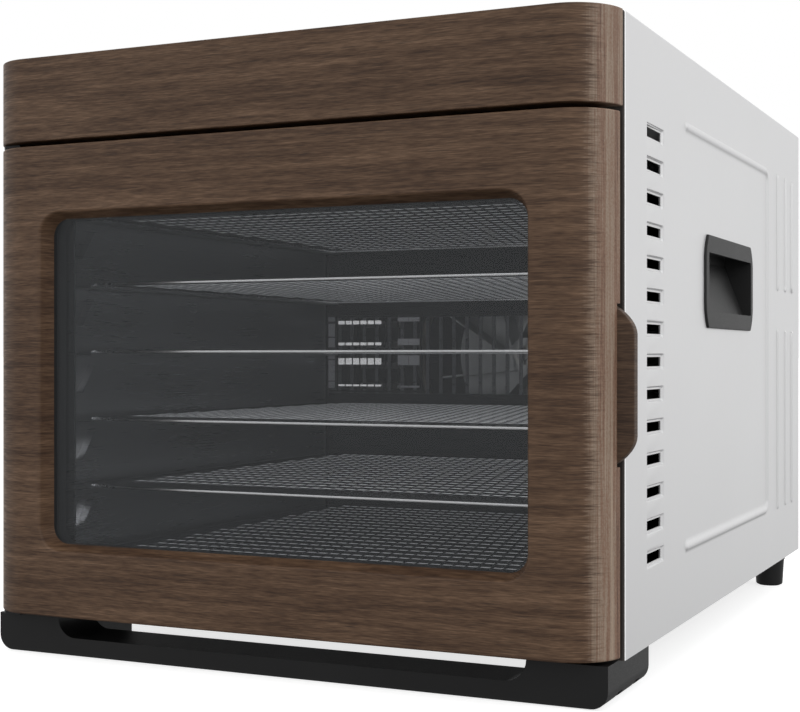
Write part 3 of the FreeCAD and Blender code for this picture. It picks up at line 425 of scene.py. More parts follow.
# Colour and roughness, then where they differ from the usual: metallic, grain, spread and relief.
METALS = {
    "silver_sheet": ((0.66, 0.66, 0.665), 0.42, 0.55, (260, 260, 260), 0.012, 0.002),
    # Painted highlight: near-white for the rear part of the front bend, the bright line where the bend
    # catches the light.
    "bend_painted_highlight": ((0.93, 0.93, 0.93), 0.4, 0.1, (260, 260, 260), 0.012, 0.002),
    "rear_sheet": ((0.58, 0.58, 0.585), 0.45, 0.55, (200, 200, 200), 0.02, 0.003),
    # Painted shade: the steel inside the chamber is near-black, the dimness of the closed chamber put
    # into its colour.
    "inner_steel": ((0.030, 0.031, 0.033), 0.3),
    "rack_steel": ((0.55, 0.56, 0.58), 0.3),
    "tray_steel": ((0.90, 0.91, 0.93), 0.25, 1.0, (25, 900, 900)),
    # Painted shade: the flat faces of the trays are dark, while their lips and hems keep the bright tray
    # steel.
    "tray_face": ((0.12, 0.122, 0.127), 0.2, 1.0, (25, 900, 900)),
    # Painted light: near-white louvre blades and grey baffles in place of pale patches of light behind
    # the fan guard.
    "blade_painted_light": ((0.96, 0.97, 1.0), 0.14, 1.0, (900, 900, 900), 0.02),
    "baffle_painted_light": ((0.3, 0.305, 0.33), 0.3),
    "plated_screws": ((0.62, 0.62, 0.6), 0.3),
    "hinge_steel": ((0.45, 0.45, 0.46), 0.35),
    # Painted shade: near-black for the hinge brackets, so that they sink into the dark gap beside the
    # door.
    "hinge_painted_shade": ((0.03, 0.03, 0.031), 0.45),
    "magnet": ((0.4, 0.4, 0.41), 0.3),
    "fan_aluminium": ((0.6, 0.61, 0.62), 0.35, 1.0, (500, 500, 500)),
    "motor_iron": ((0.22, 0.22, 0.23), 0.45, 1.0, (20, 1500, 20)),
    "heater_sheath": ((0.2, 0.185, 0.16), 0.4, 1.0, (300, 300, 300), 0.2),
    "sensor_brass": ((0.6, 0.46, 0.2), 0.3, 1.0, (400, 400, 400)),
}
# Colour and roughness, then where they differ from the usual: grain, spread and gloss.
PLASTICS = {
    "black_plastic": ((0.0075, 0.0075, 0.0078), 0.45, 0.02, 0.12, 0.25),
    "grey_handle_plastic": ((0.019, 0.019, 0.0192), 0.5, 0.02, 0.12, 0.2),
    "inner_frame_plastic": ((0.012, 0.012, 0.013), 0.5),
    "hinge_bush_plastic": ((0.6, 0.6, 0.57), 0.45),
    # Painted shade: near-black brown for the front flange and bend, the shade in the gap beside the
    # door.
    "flange_painted_shade": ((0.030, 0.024, 0.020), 0.6),
    "seal_rubber": ((0.02, 0.02, 0.02), 0.7),
    "circuit_board": ((0.02, 0.12, 0.05), 0.35),
    "display_black": ((0.01, 0.01, 0.012), 0.15, 0.002),
    "wire_insulation": ((0.42, 0.42, 0.4), 0.5),
}
MATERIALS = {name: sheet_metal(name, *values) for name, values in METALS.items()}
MATERIALS.update({name: plastic(name, *values) for name, values in PLASTICS.items()})
MATERIALS["walnut_trim"] = walnut("walnut_trim")
MATERIALS["walnut_tab"] = walnut("walnut_tab", side_highlight_else_shade=False)
MATERIALS["tinted_glass"] = tinted_glass()
MATERIALS["slot_walls_painted_glow"] = slot_walls_painted_glow()
MATERIALS["guard_steel"] = guard_steel()


# ---------------------------------------------------------------- outer wrap
# The sheet, its inward flange at the front and the share of the front bend that is painted dark: painted
# shade of the gap beside the door.
SHEET = 0.8
BEND = 1.4
TOP_BEND = 1.4
BEND_STEPS = 5
FLANGE = 12.0
PAINTED_SHADE_SHARE = 0.45
LINE_GAP = 0.3

# Vent holes, and the hollow pressed round each of them.
HOLE_FRONT = -163.5
HOLE_REAR = -136.0
HOLE_HALF = 2.25
VENT_FRONT = -164.0
VENT_REAR = -133.8
VENT_HALF = 3.9
VENT_RELIEF = 1.2
VENT_HEIGHTS = [159.5 + (index - 6.5) * 15.35 for index in range(14)]

# Bead in the shape of a U that lies open to the front.
BEAD_MIDDLE = 164.25
BEAD_HALF = 106.5
BEAD_END = -90.75
BEAD_REAR = 114.05
BEAD_CORNER = 6.0
BEAD_WIDTH = 2.75
BEAD_RELIEF = 1.2

# Upright ribs behind the bead.
RIB_PLACES = (148.0, 174.6, 197.7)
RIB_SPANS = ((54.3, 171.8), (196.7, 273.4))
RIB_HALF = 1.5
RIB_RELIEF = 1.0

# Cut-out for the carry handle, with slanted corners.
CUT_FRONT = -50.0
CUT_REAR = 62.0
CUT_LOW = 172.5
CUT_HIGH = 216.5
CUT_CORNER = 7.24


def relief(y, z):
    """Height of the pressed details above the flat side sheet."""
    bead_slope, rib_slope = 1.9, 1.1
    vent_slope, vent_rear_slope, vent_front_slope = 0.8, 2.0, 0.5
    across = abs(z - BEAD_MIDDLE) - (BEAD_HALF - BEAD_CORNER)
    along = y - (BEAD_REAR - BEAD_CORNER)
    outside = math.hypot(max(along, 0), max(across, 0))
    distance = abs(outside + min(max(along, across), 0) - BEAD_CORNER)
    if y < BEAD_END:
        distance = math.hypot(y - BEAD_END, abs(z - BEAD_MIDDLE) - BEAD_HALF)
    height = BEAD_RELIEF * smooth_step((BEAD_WIDTH - distance) / bead_slope)
    for place in RIB_PLACES:
        for low, high in RIB_SPANS:
            past = max(low + RIB_HALF - z, z - high + RIB_HALF, 0.0)
            inside = RIB_HALF - math.hypot(y - place, past)
            height += RIB_RELIEF * smooth_step(inside / rib_slope)
    for vent in VENT_HEIGHTS:
        if abs(z - vent) < VENT_HALF:
            upright = smooth_step((VENT_HALF - abs(z - vent)) / vent_slope)
            rear = smooth_step((VENT_REAR - y) / vent_rear_slope)
            front = smooth_step((y - VENT_FRONT) / vent_front_slope)
            height -= VENT_RELIEF * upright * rear * front
    return height


def grid_lines(exact, soft):
    """Sorted grid lines: all the exact ones, and the soft ones that aren't too close to another."""
    lines = list(exact)
    for line in soft:
        if all(abs(line - other) > LINE_GAP for other in lines):
            lines.append(line)
    return sorted(lines)


def clip(polygon, a, b, c):
    """The part of a polygon where a*y + b*z <= c."""
    kept = []
    for here, there in zip(polygon, polygon[1:] + polygon[:1]):
        side_here = a * here[0] + b * here[1] - c
        side_there = a * there[0] + b * there[1] - c
        if side_here <= 0:
            kept.append(here)
        if side_here * side_there < 0:
            share = side_here / (side_here - side_there)
            kept.append((here[0] + share * (there[0] - here[0]), here[1] + share * (there[1] - here[1])))
    return kept


def wrap_lines():
    """Grid lines of the side sheet along Y and Z, closer together where its details slope."""
    y_exact = [CASE_FACE + BEND, HOLE_FRONT, HOLE_REAR, REAR_EDGE]
    y_exact += [CUT_FRONT, CUT_FRONT + CUT_CORNER, CUT_REAR - CUT_CORNER, CUT_REAR]
    y_soft = [VENT_FRONT, -135.3, -134.6, VENT_REAR, -93.5, -92.6, -91.7, BEAD_END]
    y_soft += [102, 104, 106, 107.6, 109, 110.2, 111.3, 112.2, 113.1, BEAD_REAR, 115.0, 115.9, 116.8]
    for place in RIB_PLACES:
        y_soft += [place + step for step in (-1.5, -1.0, -0.5, 0, 0.5, 1.0, 1.5)]
    y_soft += [-180, -120, -20, 20, 85, 160, 215]

    z_exact = [FOOT_HEIGHT, CASE_TOP - TOP_BEND]
    z_exact += [CUT_LOW, CUT_LOW + CUT_CORNER, CUT_HIGH - CUT_CORNER, CUT_HIGH]
    z_soft = []
    for vent in VENT_HEIGHTS:
        z_exact += [vent - HOLE_HALF, vent + HOLE_HALF]
        z_soft += [vent + step for step in (-3.9, -3.5, -3.1, 3.1, 3.5, 3.9)]
    for step in (0, 0.9, 1.8, 2.75, 3.7, 4.6, 5.5, 6.8, 8.4, 10, 12, 14):
        z_soft += [55.0 + step, 273.5 - step]
    for low, high in RIB_SPANS:
        z_soft += [low, low + 0.7, low + 1.5, high - 1.5, high - 0.7, high]
    return grid_lines(y_exact, y_soft), grid_lines(z_exact, z_soft)


def wrap_section(inset, z_lines):
    """Section of the sheet, from the bottom right over the top to the bottom left."""
    radius = max(TOP_BEND - inset, 0.05)
    x_centre = HALF_WIDTH - inset - radius
    z_centre = CASE_TOP - inset - radius
    right = [(HALF_WIDTH - inset, min(z, z_centre), "right") for z in z_lines]
    for step in range(1, BEND_STEPS + 1):
        angle = math.radians(90 / BEND_STEPS * step)
        right.append((x_centre + radius * math.cos(angle), z_centre + radius * math.sin(angle), ""))
    top = [(x, CASE_TOP - inset, "") for x in (140, 90, 40, 0, -40, -90, -140)]
    return right + top + [(-x, z, "left" if side else "") for x, z, side in reversed(right)]


def in_vent(y, z):
    """Whether a place on the side lies in a vent hole."""
    return HOLE_FRONT < y < HOLE_REAR and any(abs(z - vent) < HOLE_HALF for vent in VENT_HEIGHTS)


def in_cut_out(y, z):
    """Whether a place on the side lies in the rectangle round the handle cut-out."""
    return CUT_FRONT < y < CUT_REAR and CUT_LOW < z < CUT_HIGH


def in_cut_corner(y, z):
    """Whether such a place lies in a corner of the rectangle, which the cut-out slants across."""
    if CUT_FRONT + CUT_CORNER < y < CUT_REAR - CUT_CORNER:
        return False
    return not CUT_LOW + CUT_CORNER < z < CUT_HIGH - CUT_CORNER


def left_of_corner(cell):
    """The part of a corner's grid cell that the slanted cut leaves."""
    y, z = cell[0]
    a = 1 if y < (CUT_FRONT + CUT_REAR) / 2 else -1
    b = 1 if z < (CUT_LOW + CUT_HIGH) / 2 else -1
    edge_y = CUT_FRONT if a > 0 else CUT_REAR
    edge_z = CUT_LOW if b > 0 else CUT_HIGH
    return clip(cell, a, b, a * edge_y + b * edge_z + CUT_CORNER)


def outer_wrap():
    """Folded sheet with its pressed vents, bead, ribs and handle cut-outs."""
    y_lines, z_lines = wrap_lines()
    rows = [(FLANGE, CASE_FACE), (FLANGE / 2, CASE_FACE)]
    for step in range(BEND_STEPS + 1):
        angle = math.radians(90 / BEND_STEPS * step)
        rows.append((BEND * (1 - math.sin(angle)), CASE_FACE + BEND * (1 - math.cos(angle))))
    rows += [(0.0, y) for y in y_lines]

    bm = bmesh.new()
    grid = []
    for inset, y in rows:
        ring = []
        for x, z, side in wrap_section(inset, z_lines):
            if side and inset == 0.0:
                x += relief(y, z) if x > 0 else -relief(y, z)
            ring.append(bm.verts.new((x * MM, y * MM, z * MM)))
        grid.append(ring)
    section = wrap_section(0.0, z_lines)
    for row in range(len(rows) - 1):
        ahead, behind = grid[row], grid[row + 1]
        y0, y1 = rows[row][1], rows[row + 1][1]
        y = (y0 + y1) / 2
        for column in range(len(section) - 1):
            x, z0, side = section[column]
            z1, next_side = section[column + 1][1:]
            z = (z0 + z1) / 2
            on_side = side and side == next_side and rows[row][0] == 0.0
            if on_side and in_vent(y, z):
                continue
            if on_side and in_cut_out(y, z):
                if in_cut_corner(y, z):
                    cell = left_of_corner([(y0, z0), (y0, z1), (y1, z1), (y1, z0)])
                    if len(cell) > 2:
                        bm.faces.new([bm.verts.new((x * MM, cy * MM, cz * MM)) for cy, cz in cell])
                continue
            bm.faces.new((ahead[column], ahead[column + 1], behind[column + 1], behind[column]))
    bmesh.ops.remove_doubles(bm, verts=bm.verts, dist=1e-6)
    bm.normal_update()
    core = Vector((0.0, 0.0, 0.15))
    flipped = [face for face in bm.faces if face.normal.dot(face.calc_center_median() - core) < 0]
    bmesh.ops.reverse_faces(bm, faces=flipped)
    thing = new_object("outer_wrap_sheet", bm)
    solid = thing.modifiers.new("thickness", "SOLIDIFY")
    solid.thickness = SHEET * MM
    solid.offset = -1.0
    bake(thing)
    finish_piece(thing, "case", MATERIALS["silver_sheet"], ["outer_wrap"], 50.0)
    thing.data.materials.append(MATERIALS["flange_painted_shade"])
    thing.data.materials.append(MATERIALS["bend_painted_highlight"])
    # Front of the bend: painted shade, dark like the gap beside the door; just behind it: a near-white
    # painted highlight.
    for face in thing.data.polygons:
        if face.center.y < (CASE_FACE + PAINTED_SHADE_SHARE * BEND) * MM:
            face.material_index = 1
        elif face.center.y < (CASE_FACE + BEND) * MM:
            face.material_index = 2


# ---------------------------------------------------------------- wooden trim and door
TRIM_RADIUS = 25.0
TRIM_CENTRE_Y = -200.0
TRIM_STEPS = 24
CUTTER_REAR = -204.0


def trim_plan(rear, inset=0.0):
    """Plan of the front trim from its right rear corner round the front to its left rear corner."""
    radius = TRIM_RADIUS - inset
    centre_x = HALF_WIDTH - TRIM_RADIUS
    start = math.asin((TRIM_CENTRE_Y - rear) / radius)
    points = []
    for step in range(TRIM_STEPS + 1):
        angle = start + (math.pi / 2 - start) * step / TRIM_STEPS
        points.append((centre_x + radius * math.cos(angle), TRIM_CENTRE_Y - radius * math.sin(angle)))
    return points + [(-x, y) for x, y in reversed(points)]


def trim_solid(plan, low, high, edge):
    """Prism of the trim whose top and bottom edges are rounded all round the front."""
    rounding = []
    for step in range(5):
        angle = math.radians(22.5 * step)
        rounding.append((edge * (1 - math.sin(angle)), edge * (1 - math.cos(angle))))
    levels = [(inset, low + rise) for inset, rise in rounding]
    levels += [(inset, high - rise) for inset, rise in reversed(rounding)]
    return loft([[(x, y, z) for x, y in plan(inset)] for inset, z in levels])


def control_panel():
    """Hollow walnut-look band above the door, with its four fixing bosses."""
    rear, inner_rear, wall = -202.5, -201.5, 3.0
    low, high, inner_low, inner_high = 264.6, 307.6, 267.6, 304.4
    boss_radius, boss_height, boss_ends = 4.0, 282.0, (-222.5, -198.8)
    bm = trim_solid(lambda inset: trim_plan(rear, inset), low, high, 0.6)
    panel = new_object("control_panel_shell", bm)
    inner = [[(x, y, z) for x, y in trim_plan(inner_rear, wall)] for z in (inner_low, inner_high)]
    carve(panel, loft(inner))
    for x in (-130, -50, 50, 130):
        boss = [[(x + a, y, boss_height + b) for a, b in circle(boss_radius)] for y in boss_ends]
        carve(panel, loft(boss), "UNION")
    finish_piece(panel, "case", MATERIALS["walnut_trim"], ["control_panel"])


def door_plan(inset):
    """Plan of the door, with the rear edge beside the hinge rounded off."""
    along, across, steps = 4.0, 4.2, 5
    plan = trim_plan(DOOR_REAR, inset)
    corner_x, corner_y = plan.pop()
    while plan[-1][1] > corner_y - along:
        plan.pop()
    start_x, start_y = plan[-1]
    for step in range(1, steps + 1):
        t = step / steps
        s = 1 - t
        x = s ** 2 * start_x + 2 * t * s * corner_x + t ** 2 * (corner_x + across)
        y = s ** 2 * start_y + 2 * t * s * corner_y + t ** 2 * corner_y
        plan.append((x, y))
    return plan


def door_frame():
    """Walnut-look surround of the window, pocketed for the glass, inner frame, tab and pins.

    The pockets' cutters end on planes a little apart, so that no two of them share a face.
    """
    low, high, edge = 21.6, 262.2, 0.9
    half, sill, head, corner = 129.7, 58.0, 224.8, 9.0
    pin_x, pin_y, pin_radius = -160.5, -213.0, 3.22
    door = new_object("door_surround", trim_solid(door_plan, low, high, edge))
    lip = [
        (5.0, -226.0), (3.9, -225.0), (3.3, -224.75), (2.8, -224.2), (2.45, -223.2), (1.6, -220.5),
        (0.0, -216.4), (0.0, CUTTER_REAR),
    ]
    window = [rounded_loop(half + g, sill - g, head + g, corner + g, y) for g, y in lip]
    glass_pocket = [rounded_loop(137.8, 49.9, 232.9, 12.0, y) for y in (-216.5, CUTTER_REAR)]
    frame_pocket = box_loops(-162.8, 162.8, INNER_FRAME_FACE, CUTTER_REAR - 0.2, 24.8, 259.0)
    tab_pocket = box_loops(162.0, 172.0, INNER_FRAME_FACE, CUTTER_REAR - 0.3, TAB_LOW, TAB_HIGH)
    for cutter in (window, glass_pocket, frame_pocket, tab_pocket):
        carve(door, loft(cutter))
    for ends in ((20.0, 29.6), (254.2, 264.0)):
        carve(door, loft([[(pin_x + a, pin_y + b, z) for a, b in circle(pin_radius)] for z in ends]))
    finish_piece(door, "door", MATERIALS["walnut_trim"], ["door_frame"])


def bezier(p0, p1, p2, p3, steps):
    """Points of a cubic curve after its first end."""
    points = []
    for step in range(1, steps + 1):
        t = step / steps
        s = 1 - t
        shares = (s ** 3, 3 * s * s * t, 3 * s * t * t, t ** 3)
        points.append(tuple(sum(q * c for q, c in zip(shares, line)) for line in zip(p0, p1, p2, p3)))
    return points


def door_handle_tab():
    """Finger tab that swells out of the door's free edge."""
    reach, root, shoulder, rear, overlap = 175.6, 163.2, 167.4, -201.6, 0.6

    def swell(end, toward, right):
        """Curve from the root to the straight part, from the top or the bottom end."""
        points = [(shoulder, end + 1.4 * toward), (right - 0.3, end + 7.4 * toward)]
        return bezier((root, end), *points, (right, end + 14.0 * toward), 12)

    def outline(inset):
        top = TAB_HIGH + overlap - inset
        bottom = TAB_LOW - overlap + inset
        points = [(root, top)] + swell(top, -1, reach - inset)
        return points + swell(bottom, 1, reach - inset)[::-1] + [(root, bottom)]

    rounding = [(0.8, 0.0), (0.24, 0.24), (0.0, 0.8)]
    loops = [[(x, INNER_FRAME_FACE + y, z) for x, z in outline(inset)] for inset, y in rounding]
    loops += [[(x, rear - y, z) for x, z in outline(inset)] for inset, y in reversed(rounding)]
    tab = new_object("door_finger_tab", loft(loops))
    finish_piece(tab, "door", MATERIALS["walnut_tab"], ["door_handle_tab"])


# ---------------------------------------------------------------- carry handles
def handle_rim(inset):
    """Outline of the handle rim in the side plane, with bowed corners."""
    front, rear, low, high = -53.0 + inset, 65.0 - inset, 169.5 + inset, 219.5 - inset
    radius = max(18.9 - inset, 4.0)
    drop = max(14.0 - inset, 3.0)
    quarter = []
    for step in range(CORNER_STEPS + 1):
        z = drop * step / CORNER_STEPS
        quarter.append((radius - math.sqrt(max(radius ** 2 - z ** 2, 0.0)), z))
    loop = [(rear - y, high - drop + z) for y, z in quarter]
    loop += [(front + y, high - drop + z) for y, z in reversed(quarter)]
    loop += [(front + y, low + drop - z) for y, z in quarter]
    loop += [(rear - y, low + drop - z) for y, z in reversed(quarter)]
    return loop


def carry_handle(side):
    """Recessed handle: a bowed rim, a sloping back and an undercut for the finger tips."""
    hand = "right" if side > 0 else "left"
    rows = [(152.5, 3.2), (169.0, 3.2), (169.0, 0.0), (169.9, 0.0), (170.3, 0.2), (170.5, 0.7)]
    loops = [[(side * x, y, z) for y, z in handle_rim(inset)] for x, inset in rows]
    handle = new_object("carry_grip_" + hand, loft(loops))

    section = [
        (171.5, 178.0), (170.5, 178.4), (165.5, 178.8), (154.9, 207.4), (154.5, 208.4),
        (154.5, 213.0), (155.5, 214.0), (164.5, 214.0), (165.5, 213.4), (167.0, 210.4),
        (168.2, 210.0), (170.5, 210.0), (171.5, 210.4),
    ]
    middle = 195.0
    ends = [(-47.0, 1.0), (-46.7, 0.3), (-46.0, 0.0), (58.0, 0.0), (58.7, 0.3), (59.0, 1.0)]
    cavity = []
    for y, inset in ends:
        cavity.append([(side * x, y, z + (inset if z < middle else -inset)) for x, z in section])
    carve(handle, loft(cavity))

    groove_start, groove_width, groove_low, groove_high = -30.0, 9.0, 213.5, 214.6
    groove_reach = sorted((side * 156.5, side * 163.5))
    for number in range(5):
        y = groove_start + number * 2 * groove_width
        carve(handle, loft(box_loops(*groove_reach, y, y + groove_width, groove_low, groove_high)))
    finish = MATERIALS["grey_handle_plastic"]
    finish_piece(handle, "case", finish, ["carry_handle_" + hand], 28.0)


# ---------------------------------------------------------------- feet
def front_foot_bar():
    """One-piece front skid with an open gap over its rail and pad notches in its arms."""
    low, high, half, radius = 0.5, FOOT_HEIGHT, 166.0, 8.0
    front, rear, rail_rear = -215.0, -150.0, -185.0
    gap_shoulder, gap_half, gap_radius = 130.0, 118.0, 10.25
    quarter = [math.radians(90 * step / CORNER_STEPS) for step in range(CORNER_STEPS + 1)]
    outline = []
    for turn in quarter:
        outline.append((half - radius + radius * math.sin(turn), low + radius - radius * math.cos(turn)))
    outline += [(half, high), (gap_shoulder, high)]
    for turn in quarter:
        outline.append((gap_half + gap_radius * math.cos(turn), high - gap_radius * math.sin(turn)))
    outline += [(-x, z) for x, z in reversed(outline)]
    bar = new_object("front_skid", loft([[(x, y, z) for x, z in outline] for y in (front, rear)]))
    arm = gap_half + gap_radius
    carve(bar, loft(box_loops(-arm, arm, rail_rear, rear + 1.0, -1.0, 21.0)))
    soften(bar, 0.9, 3, 40.0)

    pad_front, pad_rear, pad_top = -204.0, -158.0, 2.5
    notch = [(-4.2, -1.0), (4.2, -1.0), (4.2, 3.2), (3.0, 5.0), (-3.0, 5.0), (-4.2, 3.2)]
    for side in (-1, 1):
        pad_sides = sorted((side * 136.0, side * 156.0))
        carve(bar, loft(box_loops(*pad_sides, pad_front, pad_rear, -1.0, pad_top)))
        for y in (-193.0, -166.5):
            carve(bar, loft([[(side * x, y + a, z) for a, z in notch] for x in (157.5, 168.0)]))
    finish_piece(bar, "case", MATERIALS["black_plastic"], ["front_foot_bar"])


def rear_foot(side):
    """Tapered round foot with a soft lower edge and a mounting collar."""
    hand = "right" if side > 0 else "left"
    place_x, place_y = side * 157.0, 183.0
    profile = [(0.01, 2.5), (7.0, 2.5), (7.05, 0.6), (7.6, 0.5), (8.2, 0.62), (8.6, 1.1), (8.72, 1.8)]
    profile += [(9.75, 17.2), (10.1, 17.6), (10.3, 18.2), (10.3, 19.5)]
    profile += [(10.1, FOOT_HEIGHT), (0.01, FOOT_HEIGHT)]
    foot = new_object("rear_leg_" + hand, lathe(profile, place_x, place_y))
    finish = MATERIALS["black_plastic"]
    finish_piece(foot, "case", finish, ["rear_foot_" + hand])


# ---------------------------------------------------------------- trays
# Outline, sheet and folded hem of a tray.
TRAY_TOPS = [230.6 - 36.5 * index for index in range(6)]
TRAY_HALF = 142.0
TRAY_FRONT = -176.6
TRAY_REAR = 118.0
TRAY_SHEET = 0.45
TRAY_HEM = 9.0
LIP_HALF = 120.0
CUT_BACK = 8.0
EDGE = 0.35

# Punched slots, in rows that are staggered by half a pitch.
SLOT_WIDTH = 5.2
SLOT_LENGTH = 11.8
SLOT_PITCH_X = 6.9
SLOT_PITCH_Y = 14.4
SLOT_COLUMNS = 38
SLOT_ROWS = 18
SLOTS_START = 25.6


def tray_outline(inset):
    """Outline of the tray with its two front corners cut back."""
    half, lip = TRAY_HALF - inset, LIP_HALF - inset * 0.4
    front, rear = TRAY_FRONT + inset, TRAY_REAR - inset
    right = [(lip, front), (half, front + CUT_BACK), (half, rear)]
    return [(-lip, front)] + right + [(-half, rear), (-half, front + CUT_BACK)]


def punched_sheet():
    """Flat sheet of the tray with its staggered rows of slots, the upper face at height zero."""
    wide_row = [(index - (SLOT_COLUMNS - 1) / 2) * SLOT_PITCH_X for index in range(SLOT_COLUMNS)]
    slot_rows = []
    for number in range(SLOT_ROWS):
        y = TRAY_FRONT + SLOTS_START + SLOT_LENGTH / 2 + number * SLOT_PITCH_Y
        narrow_row = [x + SLOT_PITCH_X / 2 for x in wide_row[:-1]]
        slot_rows.append((y, narrow_row if number % 2 else wide_row))

    side = TRAY_HALF - EDGE
    xs = [-side, -LIP_HALF, LIP_HALF, side]
    for x in slot_rows[0][1] + slot_rows[1][1]:
        xs += [x - SLOT_WIDTH / 2, x + SLOT_WIDTH / 2]
    xs.sort()
    ys = [TRAY_FRONT + EDGE, TRAY_FRONT + CUT_BACK, TRAY_REAR - EDGE]
    for y, _ in slot_rows:
        ys += [y - SLOT_LENGTH / 2, y + SLOT_LENGTH / 2]
    ys.sort()

    bm = bmesh.new()
    grid = [[bm.verts.new((x * MM, y * MM, 0.0)) for x in xs] for y in ys]
    for row in range(len(ys) - 1):
        y = (ys[row] + ys[row + 1]) / 2
        places = []
        for slot_y, slots in slot_rows:
            if abs(y - slot_y) < SLOT_LENGTH / 2:
                places = slots
        ahead, behind = grid[row], grid[row + 1]
        for column in range(len(xs) - 1):
            x = (xs[column] + xs[column + 1]) / 2
            if any(abs(x - place) < SLOT_WIDTH / 2 for place in places):
                continue
            if row == 0 and abs(x) > LIP_HALF:
                continue
            bm.faces.new((ahead[column], ahead[column + 1], behind[column + 1], behind[column]))
    left = xs.index(-LIP_HALF)
    right = xs.index(LIP_HALF)
    bm.faces.new([grid[0][left]] + grid[1][left::-1])
    bm.faces.new([grid[0][right]] + grid[1][right:])
    loose = [vert for vert in bm.verts if not vert.link_faces]
    bmesh.ops.delete(bm, geom=loose, context="VERTS")
    bm.normal_update()
    bmesh.ops.reverse_faces(bm, faces=[face for face in bm.faces if face.normal.z < 0])
    sheet = new_object("tray_sheet", bm)
    solid = sheet.modifiers.new("thickness", "SOLIDIFY")
    solid.thickness = TRAY_SHEET * MM
    solid.offset = -1.0
    bake(sheet)
    return sheet


def tray_mesh():
    """Perforated tray with a folded hem, its upper face at height zero."""
    fold = [
        (EDGE, 0.0), (0.1, -0.1), (0.0, -0.35), (0.0, -1.25),
        (0.1, -1.5), (0.35, -1.6), (3.0, -1.6), (3.0, -1.15),
    ]
    tray = loft([[(x, y, z) for x, y in tray_outline(inset)] for inset, z in fold], caps=False)
    sheet = punched_sheet()
    mesh = sheet.data
    tray.from_mesh(mesh)
    tray.to_mesh(mesh)
    tray.free()
    bpy.data.objects.remove(sheet)
    for polygon in mesh.polygons:
        polygon.use_smooth = True
    mesh.set_sharp_from_angle(angle=math.radians(50))
    mesh.materials.clear()
    for finish in ("tray_steel", "tray_face", "slot_walls_painted_glow"):
        mesh.materials.append(MATERIALS[finish])
    for polygon in mesh.polygons:
        x, y = abs(polygon.center.x), polygon.center.y
        clear_of_rim = x <= (TRAY_HALF - 1.0) * MM
        clear_of_hem = (TRAY_FRONT + TRAY_HEM) * MM < y < (TRAY_REAR - TRAY_HEM) * MM
        # Flat faces take the dark finish, which is painted shade; upright slot walls that face front or
        # rear take the faintly glowing finish, which is painted light.
        if abs(polygon.normal.z) > 0.7:
            polygon.material_index = 1
        elif clear_of_rim and clear_of_hem and abs(polygon.normal.y) > 0.7:
            polygon.material_index = 2
    return mesh


def trays():
    """Six trays that share one mesh."""
    mesh = tray_mesh()
    for number, top in enumerate(TRAY_TOPS, 1):
        tray = bpy.data.objects.new("perforated_tray_%d" % number, mesh)
        tray.location = (0.0, 0.0, top * MM)
        bpy.context.scene.collection.objects.link(tray)
        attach(tray, "tray_%d_body" % number)
        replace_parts(tray, "tray_%d" % number)


# ---------------------------------------------------------------- duct louvre
# (middle, height) of the bars in each upright column.
LOUVRE_ROWS = ((133.4, 1.3), (150.7, 4.6), (163.2, 2.0), (178.6, 2.6))
BAFFLE_ROWS = ((133.6, 4.6), (144.1, 15.0), (154.4, 4.1), (164.2, 6.8), (173.2, 9.2), (181.1, 3.1))
STRIP_ROWS = ((132.8, 1.3), (151.5, 7.0), (164.5, 4.6), (180.5, 3.0))
CARRIER_LOW = 129.5
CARRIER_HIGH = 184.0
CARRIER_PLACES = (-148.0, -141.3, -103.4, -92.6, -74.2)
BLADE_PLACES = [-137.2 + 5.9 * column for column in range(6)]
STRIP_PLACES = (-88.2, -79.6)
BLADE_THICK = 0.6


def turned_bar(x, y, length, thick, low, high, angle):
    """Upright bar whose plan is turned about the vertical."""
    along = (math.cos(math.radians(angle)) * length / 2, math.sin(math.radians(angle)) * length / 2)
    across = (-along[1] / length * thick, along[0] / length * thick)
    plan = []
    for a, b in ((-1, -1), (1, -1), (1, 1), (-1, 1)):
        plan.append((x + a * along[0] + b * across[0], y + a * along[1] + b * across[1]))
    return loft([[(px, py, z) for px, py in plan] for z in (low, high)])


def joined(name, solids):
    """One object from several bmesh solids."""
    whole = bmesh.new()
    for solid in solids:
        scratch = bpy.data.meshes.new("scratch")
        solid.to_mesh(scratch)
        solid.free()
        whole.from_mesh(scratch)
        bpy.data.meshes.remove(scratch)
    return new_object(name, whole)


def turned_rows(places, y, length, angle, rows):
    """Turned bars side by side, one for each (middle, height) row."""
    bars = []
    for x in places:
        for middle, height in rows:
            low, high = middle - height / 2, middle + height / 2
            bars.append(turned_bar(x, y, length, BLADE_THICK, low, high, angle))
    return bars


def duct_louvre():
    """Turned blades clipped to the left end of the fan guard, on a thin dark carrier; the near-white
    blades and grey baffles are painted light, standing in for pale patches of light behind the guard.
    """
    carrier = []
    for x in CARRIER_PLACES:
        carrier.append(turned_bar(x, 123.2, 0.7, 1.2, CARRIER_LOW, CARRIER_HIGH, 0.0))
    for z in (128.6, 183.6):
        carrier.append(turned_bar(-111.0, 123.4, 75.0, 0.8, z, z + 1.2, 0.0))
    blades = turned_rows(BLADE_PLACES, 121.9, 4.5, 16.0, LOUVRE_ROWS)
    baffles = turned_rows((-145.4,), 122.0, 4.6, 14.0, BAFFLE_ROWS)
    baffles += turned_rows(STRIP_PLACES, 122.0, 7.6, 14.0, STRIP_ROWS)
    finish_piece(joined("louvre_carrier", carrier), "case", MATERIALS["inner_steel"])
    finish_piece(joined("louvre_blades", blades), "case", MATERIALS["blade_painted_light"])
    finish_piece(joined("louvre_baffles", baffles), "case", MATERIALS["baffle_painted_light"])


